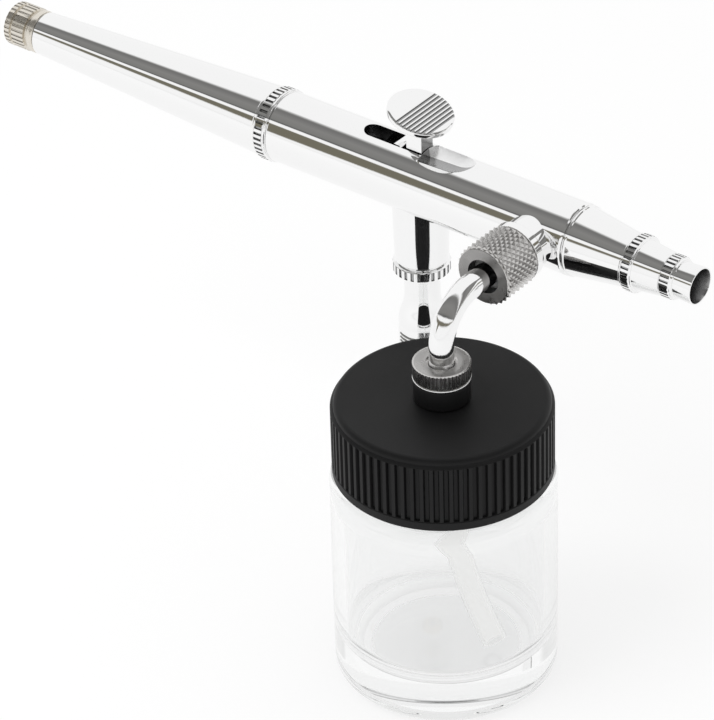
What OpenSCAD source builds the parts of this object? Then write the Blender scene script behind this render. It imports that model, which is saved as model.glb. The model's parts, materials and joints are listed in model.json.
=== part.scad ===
// Dual-action side-feed airbrush with a preset handle and a glass siphon jar.
// The gun lies along +X, the air valve hangs along -Z, the jar hangs at the -Y side.
// The origin is the centre of the air inlet's lower end face.

/* [Gun body] */
// Outer diameter of the barrel
body_d = 12; // [11.6:0.2:14]
// Barrel length in front of the valve axis
body_front = 31.4; // [30.6:0.2:34]
// Barrel length behind the valve axis
body_rear = 27.2; // [25:0.2:30]
// Bore that the trigger and the needle guide work in
chamber_d = 7.6; // [7.4:0.1:8]
// Width of the trigger slot
slot_w = 3.5; // [3.4:0.1:4]
// Back end of the trigger slot, behind the valve axis
slot_back = 10.7; // [10.4:0.1:12]
// Front end of the finger scoop, ahead of the valve axis
scoop_front = 9.9; // [8.5:0.1:11]
// Length of the thread at the back of the barrel
tail_thread_len = 5.8; // [5:0.2:7]

/* [Nose] */
// Length of the spray head's cone
head_len = 10; // [9:0.5:12]
// Diameter of the spray head at the barrel
head_back_d = 11.4; // [10.8:0.1:11.6]
// Diameter of the spray head at the nozzle cap
head_front_d = 8.8; // [8.4:0.1:9.2]
// Knurled ring of the nozzle cap, diameter
nozzle_ring_d = 9.4; // [9:0.1:10]
// Knurled ring of the nozzle cap, width
nozzle_ring_w = 2.2; // [1.8:0.1:2.6]
// Length of the nozzle cap
nozzle_cap_len = 6.8; // [6.4:0.1:8]
// Knurled ring of the needle cap, diameter
needle_ring_d = 7.1; // [6.9:0.1:7.6]
// Knurled ring of the needle cap, width
needle_ring_w = 1.8; // [1.4:0.1:2.2]
// Length of the needle cap
needle_cap_len = 5.6; // [5.2:0.1:7]
// Outer diameter at the needle cap's mouth
mouth_d = 6.2; // [6:0.1:6.8]

/* [Handle] */
// Length of the handle
handle_len = 52.2; // [50:0.2:60]
// Diameter at the tail of the handle
handle_end_d = 7.5; // [7.2:0.1:9]
// Knurled ring at the front of the handle, diameter
handle_ring_d = 12.5; // [12.4:0.1:13]
// Knurled ring at the front of the handle, width
handle_ring_w = 2.6; // [2:0.1:3.4]
// Diameter of the preset knob
knob_d = 7.6; // [7:0.1:9]
// Length of the preset knob
knob_len = 6.4; // [5.6:0.1:8]
// Diameter of the preset screw
preset_d = 3.4; // [3:0.1:3.6]

/* [Trigger] */
// Diameter of the trigger button
button_d = 11; // [9:0.5:13]
// Height of the button's face over the barrel axis
button_rise = 12.8; // [11:0.2:14]
// Forward tilt of the button's face in degrees
button_tilt = 16; // [0:1:18]
// Thickness of the button's rim
button_t = 1.3; // [1:0.1:1.8]
// Grip grooves across the front half of the button
groove_count = 9; // [5:1:9]
// Spacing of the grip grooves
groove_pitch = 0.64; // [0.5:0.02:0.66]
// Width of the trigger stem across the gun
stem_w = 3; // [2.8:0.1:3.2]
// Length of the trigger stem along the gun
stem_l = 3; // [2.6:0.1:3.2]
// Depth of the trigger's pivot under the barrel axis
pivot_drop = 7.5; // [7.2:0.1:7.8]

/* [Air valve] */
// Depth of the inlet's end face under the barrel axis
valve_reach = 34; // [33:0.5:40]
// Depth of the valve boss's end under the barrel axis
boss_drop = 14.8; // [14.4:0.1:16]
// Diameter of the valve boss at the barrel
boss_d = 9.5; // [9.2:0.1:10]
// Knurled ring of the valve, height
valve_ring_h = 2.4; // [2:0.1:3]
// Diameter of the valve's neck
neck_d = 6; // [5.8:0.1:6.6]
// Diameter of the air inlet's thread
inlet_d = 8.1; // [7.6:0.1:9.8]
// Length of the air inlet's thread
inlet_len = 7; // [6:0.2:8]
// Bore of the air inlet
inlet_bore_d = 4.6; // [4.4:0.1:4.8]

/* [Needle] */
// Diameter of the needle
needle_d = 1.3; // [1.1:0.1:1.4]
// Needle travel from closed to full spray
needle_travel = 3; // [2.8:0.1:3.2]
// Wire of the needle spring
needle_wire = 0.5; // [0.4:0.05:0.6]
// Turns of the needle spring
needle_turns = 9; // [6:1:12]
// Wire of the valve spring
valve_wire = 0.5; // [0.4:0.05:0.5]
// Turns of the valve spring
valve_turns = 5; // [3:1:6]

/* [Side port] */
// Distance of the feed port ahead of the valve axis
port_x = 25; // [24.4:0.1:25.2]
// Diameter of the port's collar
collar_d = 9.8; // [8.6:0.2:10.4]
// Reach of the collar from the barrel axis
collar_reach = 9.3; // [8.6:0.1:10]
// Length of the collar's flange
collar_rim = 1.5; // [1:0.1:2]
// Diameter of the collar behind its flange
collar_neck_d = 8.6; // [8.2:0.1:8.6]
// Diameter of the port's thread
port_thread_d = 8; // [7.6:0.1:8.4]
// Diameter of the clamp nut over its knurl
nut_d = 10.3; // [10:0.1:12]
// Length of the clamp nut
nut_len = 7.8; // [7:0.1:9]
// Hole in the clamp nut's face
nut_hole_d = 5.8; // [5:0.1:6.2]
// Depth of the clamp nut's knurl
knurl_depth = 0.3; // [0.2:0.05:0.4]

/* [Feed tube] */
// Outer diameter of the feed tube
tube_d = 4; // [3.6:0.1:4.2]
// Inner diameter of the feed tube
tube_bore_d = 2.2; // [1.8:0.1:2.4]
// Centre-line radius of the tube's bend
bend_r = 7.5; // [6:0.1:8.5]
// Straight drop of the tube from its bend to the small nut on the cap
tube_drop = 2.16; // [0.4:0.02:10]
// Distance from the gun axis to the jar axis
jar_offset = 28.1; // [27:0.1:34]

/* [Jar cap] */
// Diameter of the cap over its ribs
cap_d = 35; // [34:0.5:40]
// Height of the cap
cap_h = 13; // [11:0.2:15]
// Ribs round the cap
cap_ribs = 72; // [48:1:90]
// Diameter of the boss, washer and small nut on the cap
cap_nut_d = 9.2; // [8.8:0.1:10]
// Height of the small knurled nut
cap_nut_h = 2.6; // [2.2:0.1:3.2]
// Height of the bush over the cap
bush_h = 3.7; // [3:0.1:5]

/* [Jar] */
// Outer diameter of the jar
jar_d = 36; // [34.6:0.2:40]
// Height from the jar's base to the cap's top
jar_height = 51.4; // [46:0.2:60]
// Glass wall of the jar
glass_wall = 2.2; // [1.8:0.1:3]
// Glass thickness of the jar's base
glass_base = 6; // [4:0.2:8]
// Lean of the dip tube's lower end in degrees
dip_lean = 32; // [20:1:34]

/* [Fits] */
// Radial clearance of a part that turns or slides in another
run_gap = 0.05; // [0.03:0.01:0.08]
// Clearance of a part that is screwed or pressed home
seat_gap = 0.02; // [0.01:0.01:0.04]

/* [Hidden] */
$fn = 72;
eps = 0.5;

// Heights
axis_z = valve_reach;
washer_t = 0.4;
nut_top = axis_z - bend_r - tube_drop;
cap_top = nut_top - cap_nut_h - washer_t - bush_h - 2 * seat_gap;
cap_bottom = cap_top - cap_h;
base_z = cap_top - jar_height;

// Gun body
body_r = body_d / 2;
chamber_r = chamber_d / 2;
edge = 0.3;
tail_r = chamber_r + 0.9;
tail_x = -body_rear - tail_thread_len;
chamber_front = stem_l / 2 + 1.7;
packing_r = 2.4;
packing_front = 15.5;
fluid_r = 1.3;
socket_r = 3.5;
socket_x = port_x + fluid_r + 0.5;
air_r = 0.6;
air_drop = body_r - 0.8 - air_r;
slot_gap = 0.1;
slot_front = stem_l / 2 + slot_gap;
scoop_r = 2.2;
scoop_rim = 1.2;
scoop_back = 1.2;
scoop_slope = 5;

// Nose
head_x = body_front;
nozzle_x = head_x + head_len;
needle_cap_x = nozzle_x + nozzle_cap_len;
mouth_x = needle_cap_x + needle_cap_len;
spigot_r = 3.2;
spigot_len = 2.8;
nozzle_seat_r = 1.95;
cap_spigot_r = 2.5;
cap_spigot_len = 1.4;
tip_x = needle_cap_x + cap_spigot_len - 0.4;
tip_r = 0.32;

// Trigger and needle train
pivot_z = axis_z - pivot_drop;
foot_r = 1.6;
waist_r = 1.2;
needle_r = needle_d / 2;
needle_slot = needle_d + 0.5;
press = 2;
guide_r = chamber_r - run_gap;
fork_gap = 0.15;
fork_w = stem_w + 2 * fork_gap;
fork_x = -3;
fork_back = -8;
lever_x = -4.2;
lever_z = axis_z - 1.9;
lever_eye_r = 1.05;
lever_top_r = 0.85;
lever_gap = 0.35;
lever_top_x = -stem_l / 2 - lever_gap - lever_top_r;
lever_top_z = axis_z + 4.4;
lever_w = stem_w;
pin_r = 0.5;
guide_step = -12;
guide_tube_r = 2.1;
housing_x = guide_step - needle_travel - 2;
housing_flange = 3.5;
housing_back = tail_x - housing_flange;
housing_wall = 1.5;
spring_clear = 0.4;
spring_r = guide_tube_r + spring_clear + needle_wire / 2;
chuck_x = housing_back - 2;
chuck_len = 6;
chuck_r = 2.9;
guide_back = chuck_x - chuck_len + 0.5;
needle_tail = 22;
needle_back = guide_back - needle_tail;

// Handle
handle_x = -body_rear;
handle_back = handle_x - handle_len;
handle_bore_r = 3.4;
preset_r = preset_d / 2;
preset_gap = 0.3;
knob_floor = 1.6;
preset_front = needle_back - needle_travel - preset_gap;
preset_back = handle_back - knob_len + knob_floor;

// Air valve
boss_r = boss_d / 2;
boss_end_r = boss_r - 0.3;
boss_bore_r = 3;
foot_bore_r = 3.6;
plunger_head_r = foot_bore_r - 0.3;
plunger_head_h = 2.7;
plunger_head_z = pivot_z - plunger_head_h;
plunger_r = 1.2;
guide_top = plunger_head_z - press - 0.4;
ring_top = axis_z - boss_drop;
ring_bottom = ring_top - valve_ring_h;
seat_z = ring_bottom - 0.8;
seal_t = 0.55;
disc_z = seat_z - run_gap - seal_t;
disc_h = 1.4;
disc_r = 1.9;
inlet_bore_r = inlet_bore_d / 2;
screw_h = 2.5;
screw_z = 3;
valve_spring_r = inlet_bore_r - spring_clear - valve_wire / 2;

// Side port
tube_r = tube_d / 2;
tube_bore_r = tube_bore_d / 2;
nut_r = nut_d / 2;
nut_back = collar_reach + 0.05;
nut_face = nut_back + nut_len;
nut_wall = 1.9;
nut_edge = 0.4;
nut_columns = 48;
nut_rows = 14;
port_thread_end = nut_face - nut_wall - 1.1;
tube_start = 7.4;
flange_r = 3.6;
flange_t = 0.45;

// Jar and cap
jar_x = port_x;
jar_y = -jar_offset;
cap_r = cap_d / 2;
rib_depth = 0.5;
cap_wall_top = 1.8;
cap_bore_r = cap_r - 2.4;
neck_r = cap_bore_r - 0.3;
neck_in_r = neck_r - glass_wall;
gasket_t = 1;
gasket_z = cap_top - cap_wall_top - gasket_t - seat_gap;
jar_top = gasket_z - run_gap;
jar_r = jar_d / 2;
jar_in_r = jar_r - glass_wall;
bush_r = cap_nut_d / 2 - 0.1;
bush_stem_r = 3.4;
washer_z = cap_top + bush_h + seat_gap;
cap_nut_z = washer_z + washer_t + seat_gap;
lock_nut_h = 2.4;
lock_nut_top = gasket_z - seat_gap;
dip_top = lock_nut_top - lock_nut_h - 0.6;
dip_bore_r = tube_bore_r + 0.35;
dip_r = tube_r;
dip_straight = 4;
dip_clear = 1.4;
barb_len = 3;

// Points of a ring of straight teeth, four to a tooth
function tooth_ring(count, r, depth) = [
    for (i = [0:count - 1], k = [[0.08, 0], [0.42, 0], [0.6, depth], [0.9, depth]])
        let (a = (i + k[0]) * 360 / count)
        (r - k[1]) * [cos(a), sin(a)]];

// An arc from one angle to another about a centre, as profile points
function arc_points(centre, r, from, to, steps = 6) = [
    for (i = [0:steps])
        let (a = from + (to - from) * i / steps)
        centre + r * [cos(a), sin(a)]];

// Places its children on the barrel axis, with their +Z along +X
module on_barrel(x) {
    translate([x, 0, axis_z]) rotate([0, 90, 0]) children();
}

// Places its children on the port axis, with their +Z along -Y
module on_port(reach) {
    translate([port_x, -reach, axis_z]) rotate([90, 0, 0]) children();
}

// Places its children on the jar axis
module on_jar(z) {
    translate([jar_x, jar_y, z]) children();
}

module turned(profile) {
    rotate_extrude() polygon(profile);
}

module rod(r, from, to) {
    translate([0, 0, from]) cylinder(h = to - from, r = r);
}

module knurled(count, r, depth, from, to) {
    translate([0, 0, from]) linear_extrude(to - from) polygon(tooth_ring(count, r, depth));
}

// Helix of a round wire, with straight rings of six sides
function wire_ring(r, wire, pitch, turn) = [
    for (k = [0:5])
        let (a = turn * 360, b = k * 60)
        [(r + wire / 2 * cos(b)) * cos(a), (r + wire / 2 * cos(b)) * sin(a),
         turn * pitch + wire / 2 * sin(b)]];

module coil(r, wire, turns, height) {
    pitch = (height - wire) / turns;
    rings = turns * 8;
    points = [for (i = [0:rings]) each wire_ring(r, wire, pitch, i / 8)];
    sides = [for (i = [0:rings - 1], k = [0:5], t = [0, 1])
        let (a = i * 6 + k, b = i * 6 + (k + 1) % 6)
        t == 0 ? [a, a + 6, b] : [b, a + 6, b + 6]];
    first_end = [for (k = [1:4]) [0, k, k + 1]];
    last = rings * 6;
    last_end = [for (k = [1:4]) [last, last + k + 1, last + k]];
    echo(coil_gap = pitch - wire);
    translate([0, 0, wire / 2]) polyhedron(points, concat(sides, first_end, last_end));
}

// Diamond knurl: points stand out and sink in turn, between two chamfered plain ends
module diamond_sleeve(r, depth, chamfer, columns, rows, height) {
    step = (height - 2 * chamfer) / rows;
    points = [for (j = [0:rows + 2], i = [0:columns - 1])
        let (a = i * 360 / columns, plain = j == 0 || j == rows + 2,
             rr = plain ? r - depth - chamfer : (i + j) % 2 == 0 ? r : r - depth,
             z = j == 0 ? 0 : plain ? height : chamfer + (j - 1) * step)
        [rr * cos(a), rr * sin(a), z]];
    sides = [for (j = [0:rows + 1], i = [0:columns - 1], t = [0, 1])
        let (a = j * columns + i, b = j * columns + (i + 1) % columns, c = a + columns, d = b + columns)
        (i + j) % 2 == 0 ? (t == 0 ? [a, c, b] : [b, c, d]) : (t == 0 ? [a, d, b] : [a, c, d])];
    bottom = [[for (i = [0:columns - 1]) i]];
    top = [[for (i = [0:columns - 1]) len(points) - 1 - i]];
    polyhedron(points, concat(sides, bottom, top));
}

module main_body() {
    relief_back = 4.8;
    relief_wall = 0.7;
    color("silver") difference() {
        union() {
            on_barrel(0) turned([[0, tail_x], [tail_r - edge, tail_x], [tail_r, tail_x + edge],
                [tail_r, -body_rear], [body_r - edge, -body_rear], [body_r, -body_rear + edge],
                [body_r, body_front - edge], [body_r - edge, body_front], [0, body_front]]);
            translate([0, 0, ring_top]) cylinder(h = boss_drop, r1 = boss_end_r, r2 = boss_r);
            on_port(0) rod(collar_neck_d / 2, 0, collar_reach);
            on_port(0) rod(collar_d / 2, collar_reach - collar_rim, collar_reach);
            on_port(0) rod(port_thread_d / 2, 0, port_thread_end);
        }
        on_barrel(0) rod(chamber_r, tail_x - eps, chamber_front);
        on_barrel(0) rod(packing_r, 0, packing_front);
        on_barrel(0) rod(fluid_r, 0, body_front);
        on_barrel(0) rod(socket_r, socket_x, body_front + eps);
        translate([0, 0, -air_drop]) on_barrel(0) rod(air_r, boss_bore_r - eps, body_front + eps);
        translate([0, 0, ring_top - eps]) cylinder(h = boss_drop, r = boss_bore_r);
        translate([0, 0, plunger_head_z - press]) cylinder(h = axis_z - plunger_head_z, r = foot_bore_r);
        translate([-relief_back, -slot_w / 2, axis_z - body_r + relief_wall])
            cube([relief_back, slot_w, body_r]);
        trigger_slot();
        finger_scoop();
        on_port(0) rod(fluid_r, 0, collar_reach);
        on_port(0) rod(tube_r + run_gap, tube_start - 0.2, port_thread_end + eps);
    }
}

module trigger_slot() {
    back = slot_back - slot_w / 2;
    translate([-back, -slot_w / 2, axis_z]) cube([back + slot_front, slot_w, body_d]);
    translate([-back, 0, axis_z]) cylinder(h = body_d, d = slot_w);
}

module finger_scoop() {
    reach = sqrt(scoop_r * scoop_r - scoop_rim * scoop_rim);
    x = scoop_front - reach;
    z = axis_z + body_r + scoop_rim;
    translate([x, 0, z]) sphere(r = scoop_r);
    intersection() {
        translate([x, 0, z]) rotate([0, -90 - scoop_slope, 0]) cylinder(h = x + scoop_r, r = scoop_r);
        translate([scoop_back, -body_d, axis_z]) cube([body_d, 2 * body_d, 2 * body_d]);
    }
}

module spray_head() {
    r1 = head_back_d / 2;
    r2 = head_front_d / 2;
    back = socket_x + 0.4;
    front = nozzle_x + spigot_len;
    groove_r = r1 - 0.4;
    groove_w = 0.2;
    rim_r = body_r - 0.1;
    rim_w = 0.5;
    rim_end = head_x + groove_w + rim_w;
    color("silver") on_barrel(0) difference() {
        turned([[0, back], [socket_r - seat_gap, back], [socket_r - seat_gap, head_x + seat_gap],
            [groove_r, head_x + seat_gap], [groove_r, head_x + groove_w], [rim_r - edge / 2, head_x + groove_w],
            [rim_r, head_x + groove_w + edge / 2], [rim_r, rim_end - edge / 2], [r1, rim_end], [r2, nozzle_x],
            [spigot_r, nozzle_x], [spigot_r, front], [0, front]]);
        rod(fluid_r, back - eps, nozzle_x);
        rod(nozzle_seat_r, nozzle_x - 1.5, front + eps);
    }
}

module head_seal() {
    color("white") on_barrel(socket_x + seat_gap) difference() {
        cylinder(h = 0.4 - 2 * seat_gap, r = socket_r - 0.1);
        translate([0, 0, -eps]) cylinder(h = 2, r = fluid_r);
    }
}

module fluid_nozzle() {
    back = nozzle_x - 1.5 + seat_gap;
    color("goldenrod") on_barrel(0) turned([[1.05, back], [nozzle_seat_r - seat_gap, back],
        [nozzle_seat_r - seat_gap, nozzle_x], [1.6, nozzle_x + 0.6], [tip_r + 0.18, tip_x], [tip_r, tip_x],
        [1.05, nozzle_x]]);
}

module nozzle_cap() {
    ring_r = nozzle_ring_d / 2;
    cone_r = ring_r - 0.6;
    front_r = needle_ring_d / 2;
    inner = nozzle_x + spigot_len + 0.2;
    tip = needle_cap_x + cap_spigot_len;
    color("silver") on_barrel(0) difference() {
        union() {
            knurled(40, ring_r, 0.3, nozzle_x + 0.4, nozzle_x + nozzle_ring_w - 0.3);
            turned([[0, nozzle_x + seat_gap], [ring_r - 0.25, nozzle_x + seat_gap],
                [ring_r - 0.05, nozzle_x + 0.2], [ring_r - 0.05, nozzle_x + 0.45], [ring_r - 0.35, nozzle_x + 0.45],
                [ring_r - 0.35, nozzle_x + nozzle_ring_w], [cone_r, nozzle_x + nozzle_ring_w],
                [front_r, needle_cap_x], [cap_spigot_r, needle_cap_x], [cap_spigot_r, tip], [0, tip]]);
        }
        rod(spigot_r + seat_gap, nozzle_x - eps, inner);
        turned([[0, inner - 0.01], [2.6, inner - 0.01], [1.1, needle_cap_x], [0.75, needle_cap_x + 0.6],
            [0.75, tip + eps], [0, tip + eps]]);
    }
}

module needle_cap() {
    ring_r = needle_ring_d / 2;
    mouth_r = mouth_d / 2;
    ring_end = needle_cap_x + needle_ring_w;
    lip_end = ring_end + 0.5;
    flare = 0.15;
    mouth_wall = 0.25;
    bore = mouth_r - flare - 2 * mouth_wall;
    color("silver") on_barrel(0) difference() {
        union() {
            knurled(32, ring_r, 0.25, needle_cap_x + 0.15, ring_end);
            turned([[0, needle_cap_x + seat_gap], [ring_r - 0.2, needle_cap_x + seat_gap],
                [ring_r - 0.2, ring_end + 0.2], [ring_r - 0.3, lip_end], [mouth_r - flare, lip_end],
                [mouth_r, mouth_x], [0, mouth_x]]);
        }
        rod(cap_spigot_r + seat_gap, needle_cap_x - eps, needle_cap_x + cap_spigot_len + 0.3);
        turned([[0, needle_cap_x + cap_spigot_len], [bore, needle_cap_x + cap_spigot_len],
            [bore, lip_end], [mouth_r - mouth_wall, mouth_x], [mouth_r - mouth_wall, mouth_x + eps],
            [0, mouth_x + eps]]);
    }
}

module needle_packing() {
    color("white") on_barrel(packing_front - 2.5) difference() {
        cylinder(h = 2.5 - seat_gap, r = packing_r - seat_gap);
        translate([0, 0, -eps]) cylinder(h = 4, r = needle_r + run_gap);
    }
}

module packing_screw() {
    len = 3.5;
    color("goldenrod") on_barrel(packing_front - 2.5 - seat_gap - len) difference() {
        cylinder(h = len, r = packing_r - seat_gap);
        translate([0, 0, -eps]) cylinder(h = len + 2 * eps, r = needle_r + 2 * run_gap);
        translate([-packing_r, -0.4, -eps]) cube([2 * packing_r, 0.8, 0.8 + eps]);
    }
}

module spring_housing() {
    flange_r = tail_r - 0.3;
    bore_r = spring_r + needle_wire / 2 + 0.3;
    color("goldenrod") on_barrel(0) difference() {
        turned([[bore_r, housing_x], [chamber_r - seat_gap, housing_x], [chamber_r - seat_gap, tail_x - seat_gap],
            [flange_r, tail_x - seat_gap], [flange_r, housing_back], [guide_tube_r + run_gap, housing_back],
            [guide_tube_r + run_gap, housing_back + housing_wall], [bore_r, housing_back + housing_wall]]);
        translate([-tail_r, -0.5, housing_back - eps]) cube([2 * tail_r, 1, 0.8 + eps]);
    }
}

module needle_spring() {
    start = housing_back + housing_wall + run_gap;
    color("lightsteelblue") on_barrel(start)
        coil(spring_r, needle_wire, needle_turns, guide_step - run_gap - start);
}

module handle() {
    ring_r = handle_ring_d / 2;
    taper_x = handle_x - handle_ring_w;
    socket_back = housing_back - 0.6;
    color("silver") on_barrel(0) difference() {
        union() {
            knurled(40, ring_r, 0.35, taper_x + 0.3, handle_x - 0.3);
            turned([[0, handle_back], [handle_end_d / 2 - edge, handle_back], [handle_end_d / 2, handle_back + edge],
                [body_r, taper_x - 0.2], [ring_r - 0.1, taper_x], [ring_r - 0.1, taper_x + 0.35],
                [ring_r - 0.4, taper_x + 0.35], [ring_r - 0.4, handle_x - 0.35], [ring_r - 0.1, handle_x - 0.35],
                [ring_r - 0.1, handle_x - 0.2], [ring_r - 0.3, handle_x - seat_gap], [0, handle_x - seat_gap]]);
        }
        rod(tail_r + seat_gap, socket_back, handle_x + eps);
        rod(handle_bore_r, preset_front - 0.3, handle_x);
        rod(preset_r + run_gap, handle_back - eps, handle_x);
    }
}

module preset_screw() {
    color("lightgray") on_barrel(0) turned([[0, preset_back], [preset_r, preset_back],
        [preset_r, preset_front - 0.4], [preset_r - 0.4, preset_front], [0, preset_front]]);
}

module preset_knob() {
    r = knob_d / 2;
    front = handle_back - run_gap;
    back = handle_back - knob_len;
    rim = front - 1.1;
    groove = rim - 0.8;
    band = back + 1.4;
    color("tan") on_barrel(0) difference() {
        union() {
            knurled(36, r, 0.28, back + 0.3, band);
            knurled(36, r, 0.28, band + 0.55, groove);
            turned([[0, back], [r - 0.55, back], [r - 0.25, back + 0.3], [r - 0.25, band], [r - 0.5, band + 0.1],
                [r - 0.5, band + 0.45], [r - 0.25, band + 0.55], [r - 0.25, groove], [r - 0.55, groove + 0.1],
                [r - 0.55, rim], [r - 0.1, rim], [r - 0.1, front - 0.15], [r - 0.25, front], [0, front]]);
        }
        rod(preset_r + run_gap, preset_back - run_gap, handle_back + eps);
    }
}

module trigger() {
    face_z = axis_z + button_rise;
    face_x = 0.5;
    stem_foot = 3.2;
    slot_low = 3;
    slot_high = 5.2;
    color("silver") difference() {
        union() {
            translate([0, 0, pivot_z]) rotate([90, 0, 0])
                cylinder(h = 2 * foot_r, r = foot_r, center = true);
            translate([0, 0, pivot_z]) cylinder(h = pivot_drop, r = waist_r);
            translate([-stem_l / 2, -stem_w / 2, axis_z - stem_foot])
                cube([stem_l, stem_w, stem_foot + button_rise - button_t]);
            translate([face_x, 0, face_z]) rotate([0, button_tilt, 0]) button();
        }
        translate([-stem_l, -needle_slot / 2, axis_z - slot_low])
            cube([2 * stem_l, needle_slot, slot_low + slot_high]);
    }
}

// Round thumb pad with a dished back half and grooves across its front half
module button() {
    r = button_d / 2;
    dish_r = 22;
    difference() {
        turned([[0, -button_t - 1], [stem_w / 2 + 0.2, -button_t - 1], [r - 0.5, -button_t], [r, -button_t + 0.35],
            [r, -0.35], [r - 0.35, 0], [0, 0]]);
        translate([0, 0, dish_r - 0.35]) sphere(r = dish_r, $fn = 144);
        for (i = [0:groove_count - 1])
            translate([i * groove_pitch - 0.7, 0, 0]) rotate([0, 45, 0]) cube([0.42, button_d, 0.42], center = true);
    }
}

module aux_lever() {
    color("lightgray") difference() {
        union() {
            translate([lever_x, 0, lever_z]) rotate([90, 0, 0])
                cylinder(h = lever_w, r = lever_eye_r, center = true);
            translate([lever_top_x, 0, lever_top_z]) rotate([90, 0, 0])
                cylinder(h = lever_w, r = lever_top_r, center = true);
            translate([0, lever_w / 2, 0]) rotate([90, 0, 0]) linear_extrude(lever_w) polygon([
                [lever_x - 0.8, lever_z], [lever_x + 0.8, lever_z],
                [lever_top_x + 0.6, lever_top_z], [lever_top_x - 0.6, lever_top_z]]);
        }
        translate([lever_x - 3, -needle_slot / 2, lever_z - 3]) cube([6, needle_slot, 7]);
        translate([lever_x, 0, lever_z]) rotate([90, 0, 0])
            cylinder(h = 2 * lever_w, r = pin_r + run_gap, center = true);
    }
}

module lever_pin() {
    low = axis_z - lever_z + pin_r;
    reach = sqrt(guide_r * guide_r - low * low) - run_gap;
    color("lightgray") translate([lever_x, 0, lever_z]) rotate([90, 0, 0])
        cylinder(h = 2 * reach, r = pin_r, center = true);
}

module needle_guide() {
    color("lightgray") difference() {
        on_barrel(0) turned([[0, guide_back], [guide_tube_r, guide_back], [guide_tube_r, guide_step],
            [guide_r, guide_step], [guide_r, fork_x - edge], [guide_r - edge, fork_x], [0, fork_x]]);
        on_barrel(0) rod(needle_r + run_gap, guide_back - eps, 0);
        translate([fork_back, -fork_w / 2, axis_z - chamber_d]) cube([-fork_back, fork_w, 2 * chamber_d]);
        translate([lever_x, 0, lever_z]) rotate([90, 0, 0])
            cylinder(h = chamber_d, r = pin_r + seat_gap, center = true);
    }
}

module needle_chuck_nut() {
    back = chuck_x - chuck_len;
    color("goldenrod") on_barrel(0) difference() {
        union() {
            knurled(28, chuck_r, 0.25, back, back + 3.6);
            rod(chuck_r - 0.2, back + 3.6, chuck_x);
        }
        rod(guide_tube_r + seat_gap, guide_back - seat_gap, chuck_x + eps);
        rod(needle_r + run_gap, back - eps, chuck_x);
    }
}

module needle() {
    color("lightsteelblue") on_barrel(0) turned([[0, needle_back], [needle_r, needle_back],
        [needle_r, nozzle_x - 3], [tip_r - 0.07, tip_x], [0.05, tip_x + 1.4], [0, tip_x + 1.4]]);
}

module valve_body() {
    ring_r = boss_r;
    neck = neck_d / 2;
    inlet_r = inlet_d / 2;
    neck_end = inlet_len + 5;
    ring_teeth = 26;
    tooth_h = 0.35;
    groove_h = 0.5;
    groove_r = boss_end_r - 0.4;
    color("silver") difference() {
        union() {
            turned(concat([[0, 0], [inlet_r, 0], [inlet_r, inlet_len]],
                [for (t = [1:7]) [neck + (inlet_r - neck) * (1 + cos(t * 180 / 7)) / 2,
                    inlet_len + (neck_end - inlet_len) * t / 7]],
                [[neck, ring_bottom - 1.2], [neck + 0.4, ring_bottom - 0.4], [ring_r - 0.5, ring_bottom],
                 [ring_r - tooth_h, ring_bottom + edge], [ring_r - tooth_h, ring_top - groove_h],
                 [groove_r, ring_top - groove_h + edge], [groove_r, ring_top - seat_gap],
                 [boss_bore_r - seat_gap, ring_top - seat_gap], [boss_bore_r - seat_gap, guide_top], [0, guide_top]]));
            knurled(ring_teeth, ring_r, tooth_h, ring_bottom + edge / 2, ring_top - groove_h);
        }
        translate([0, 0, -eps]) cylinder(h = seat_z + eps, r = inlet_bore_r);
        cylinder(h = axis_z, r = plunger_r + run_gap);
    }
}

module valve_plunger() {
    color("goldenrod") difference() {
        turned([[0, disc_z - disc_h - 1.6], [0.7, disc_z - disc_h - 1.6], [0.7, disc_z - disc_h],
            [disc_r, disc_z - disc_h], [disc_r, disc_z], [plunger_r, disc_z], [plunger_r, plunger_head_z],
            [plunger_head_r, plunger_head_z], [plunger_head_r, pivot_z], [0, pivot_z]]);
        translate([0, 0, pivot_z]) rotate([90, 0, 0])
            cylinder(h = 4 * foot_r, r = foot_r + run_gap, center = true);
    }
}

module valve_seal() {
    color("dimgray") translate([0, 0, disc_z + seat_gap]) difference() {
        cylinder(h = seal_t - seat_gap, r = disc_r);
        translate([0, 0, -eps]) cylinder(h = 2, r = plunger_r + seat_gap);
    }
}

module valve_spring() {
    start = screw_z + screw_h + run_gap;
    color("lightsteelblue") translate([0, 0, start])
        coil(valve_spring_r, valve_wire, valve_turns, disc_z - disc_h - run_gap - start);
}

module valve_guide_screw() {
    color("goldenrod") translate([0, 0, screw_z]) difference() {
        cylinder(h = screw_h, r = inlet_bore_r - seat_gap);
        translate([0, 0, -eps]) cylinder(h = screw_h + 2 * eps, r = 0.9);
        translate([-inlet_bore_r, -0.4, -eps]) cube([2 * inlet_bore_r, 0.8, 0.8 + eps]);
    }
}

module clamp_nut() {
    inner = nut_face - nut_wall;
    color("darkgray") on_port(0) difference() {
        translate([0, 0, nut_back]) diamond_sleeve(nut_r, knurl_depth, nut_edge, nut_columns, nut_rows, nut_len);
        rod(port_thread_d / 2 + run_gap, nut_back - eps, inner);
        rod(nut_hole_d / 2, nut_back, nut_face + eps);
    }
}

module port_seal() {
    color("white") on_port(port_thread_end + run_gap) difference() {
        cylinder(h = 0.4, r = flange_r);
        translate([0, 0, -eps]) cylinder(h = 2, r = tube_r + seat_gap);
    }
}

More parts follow.
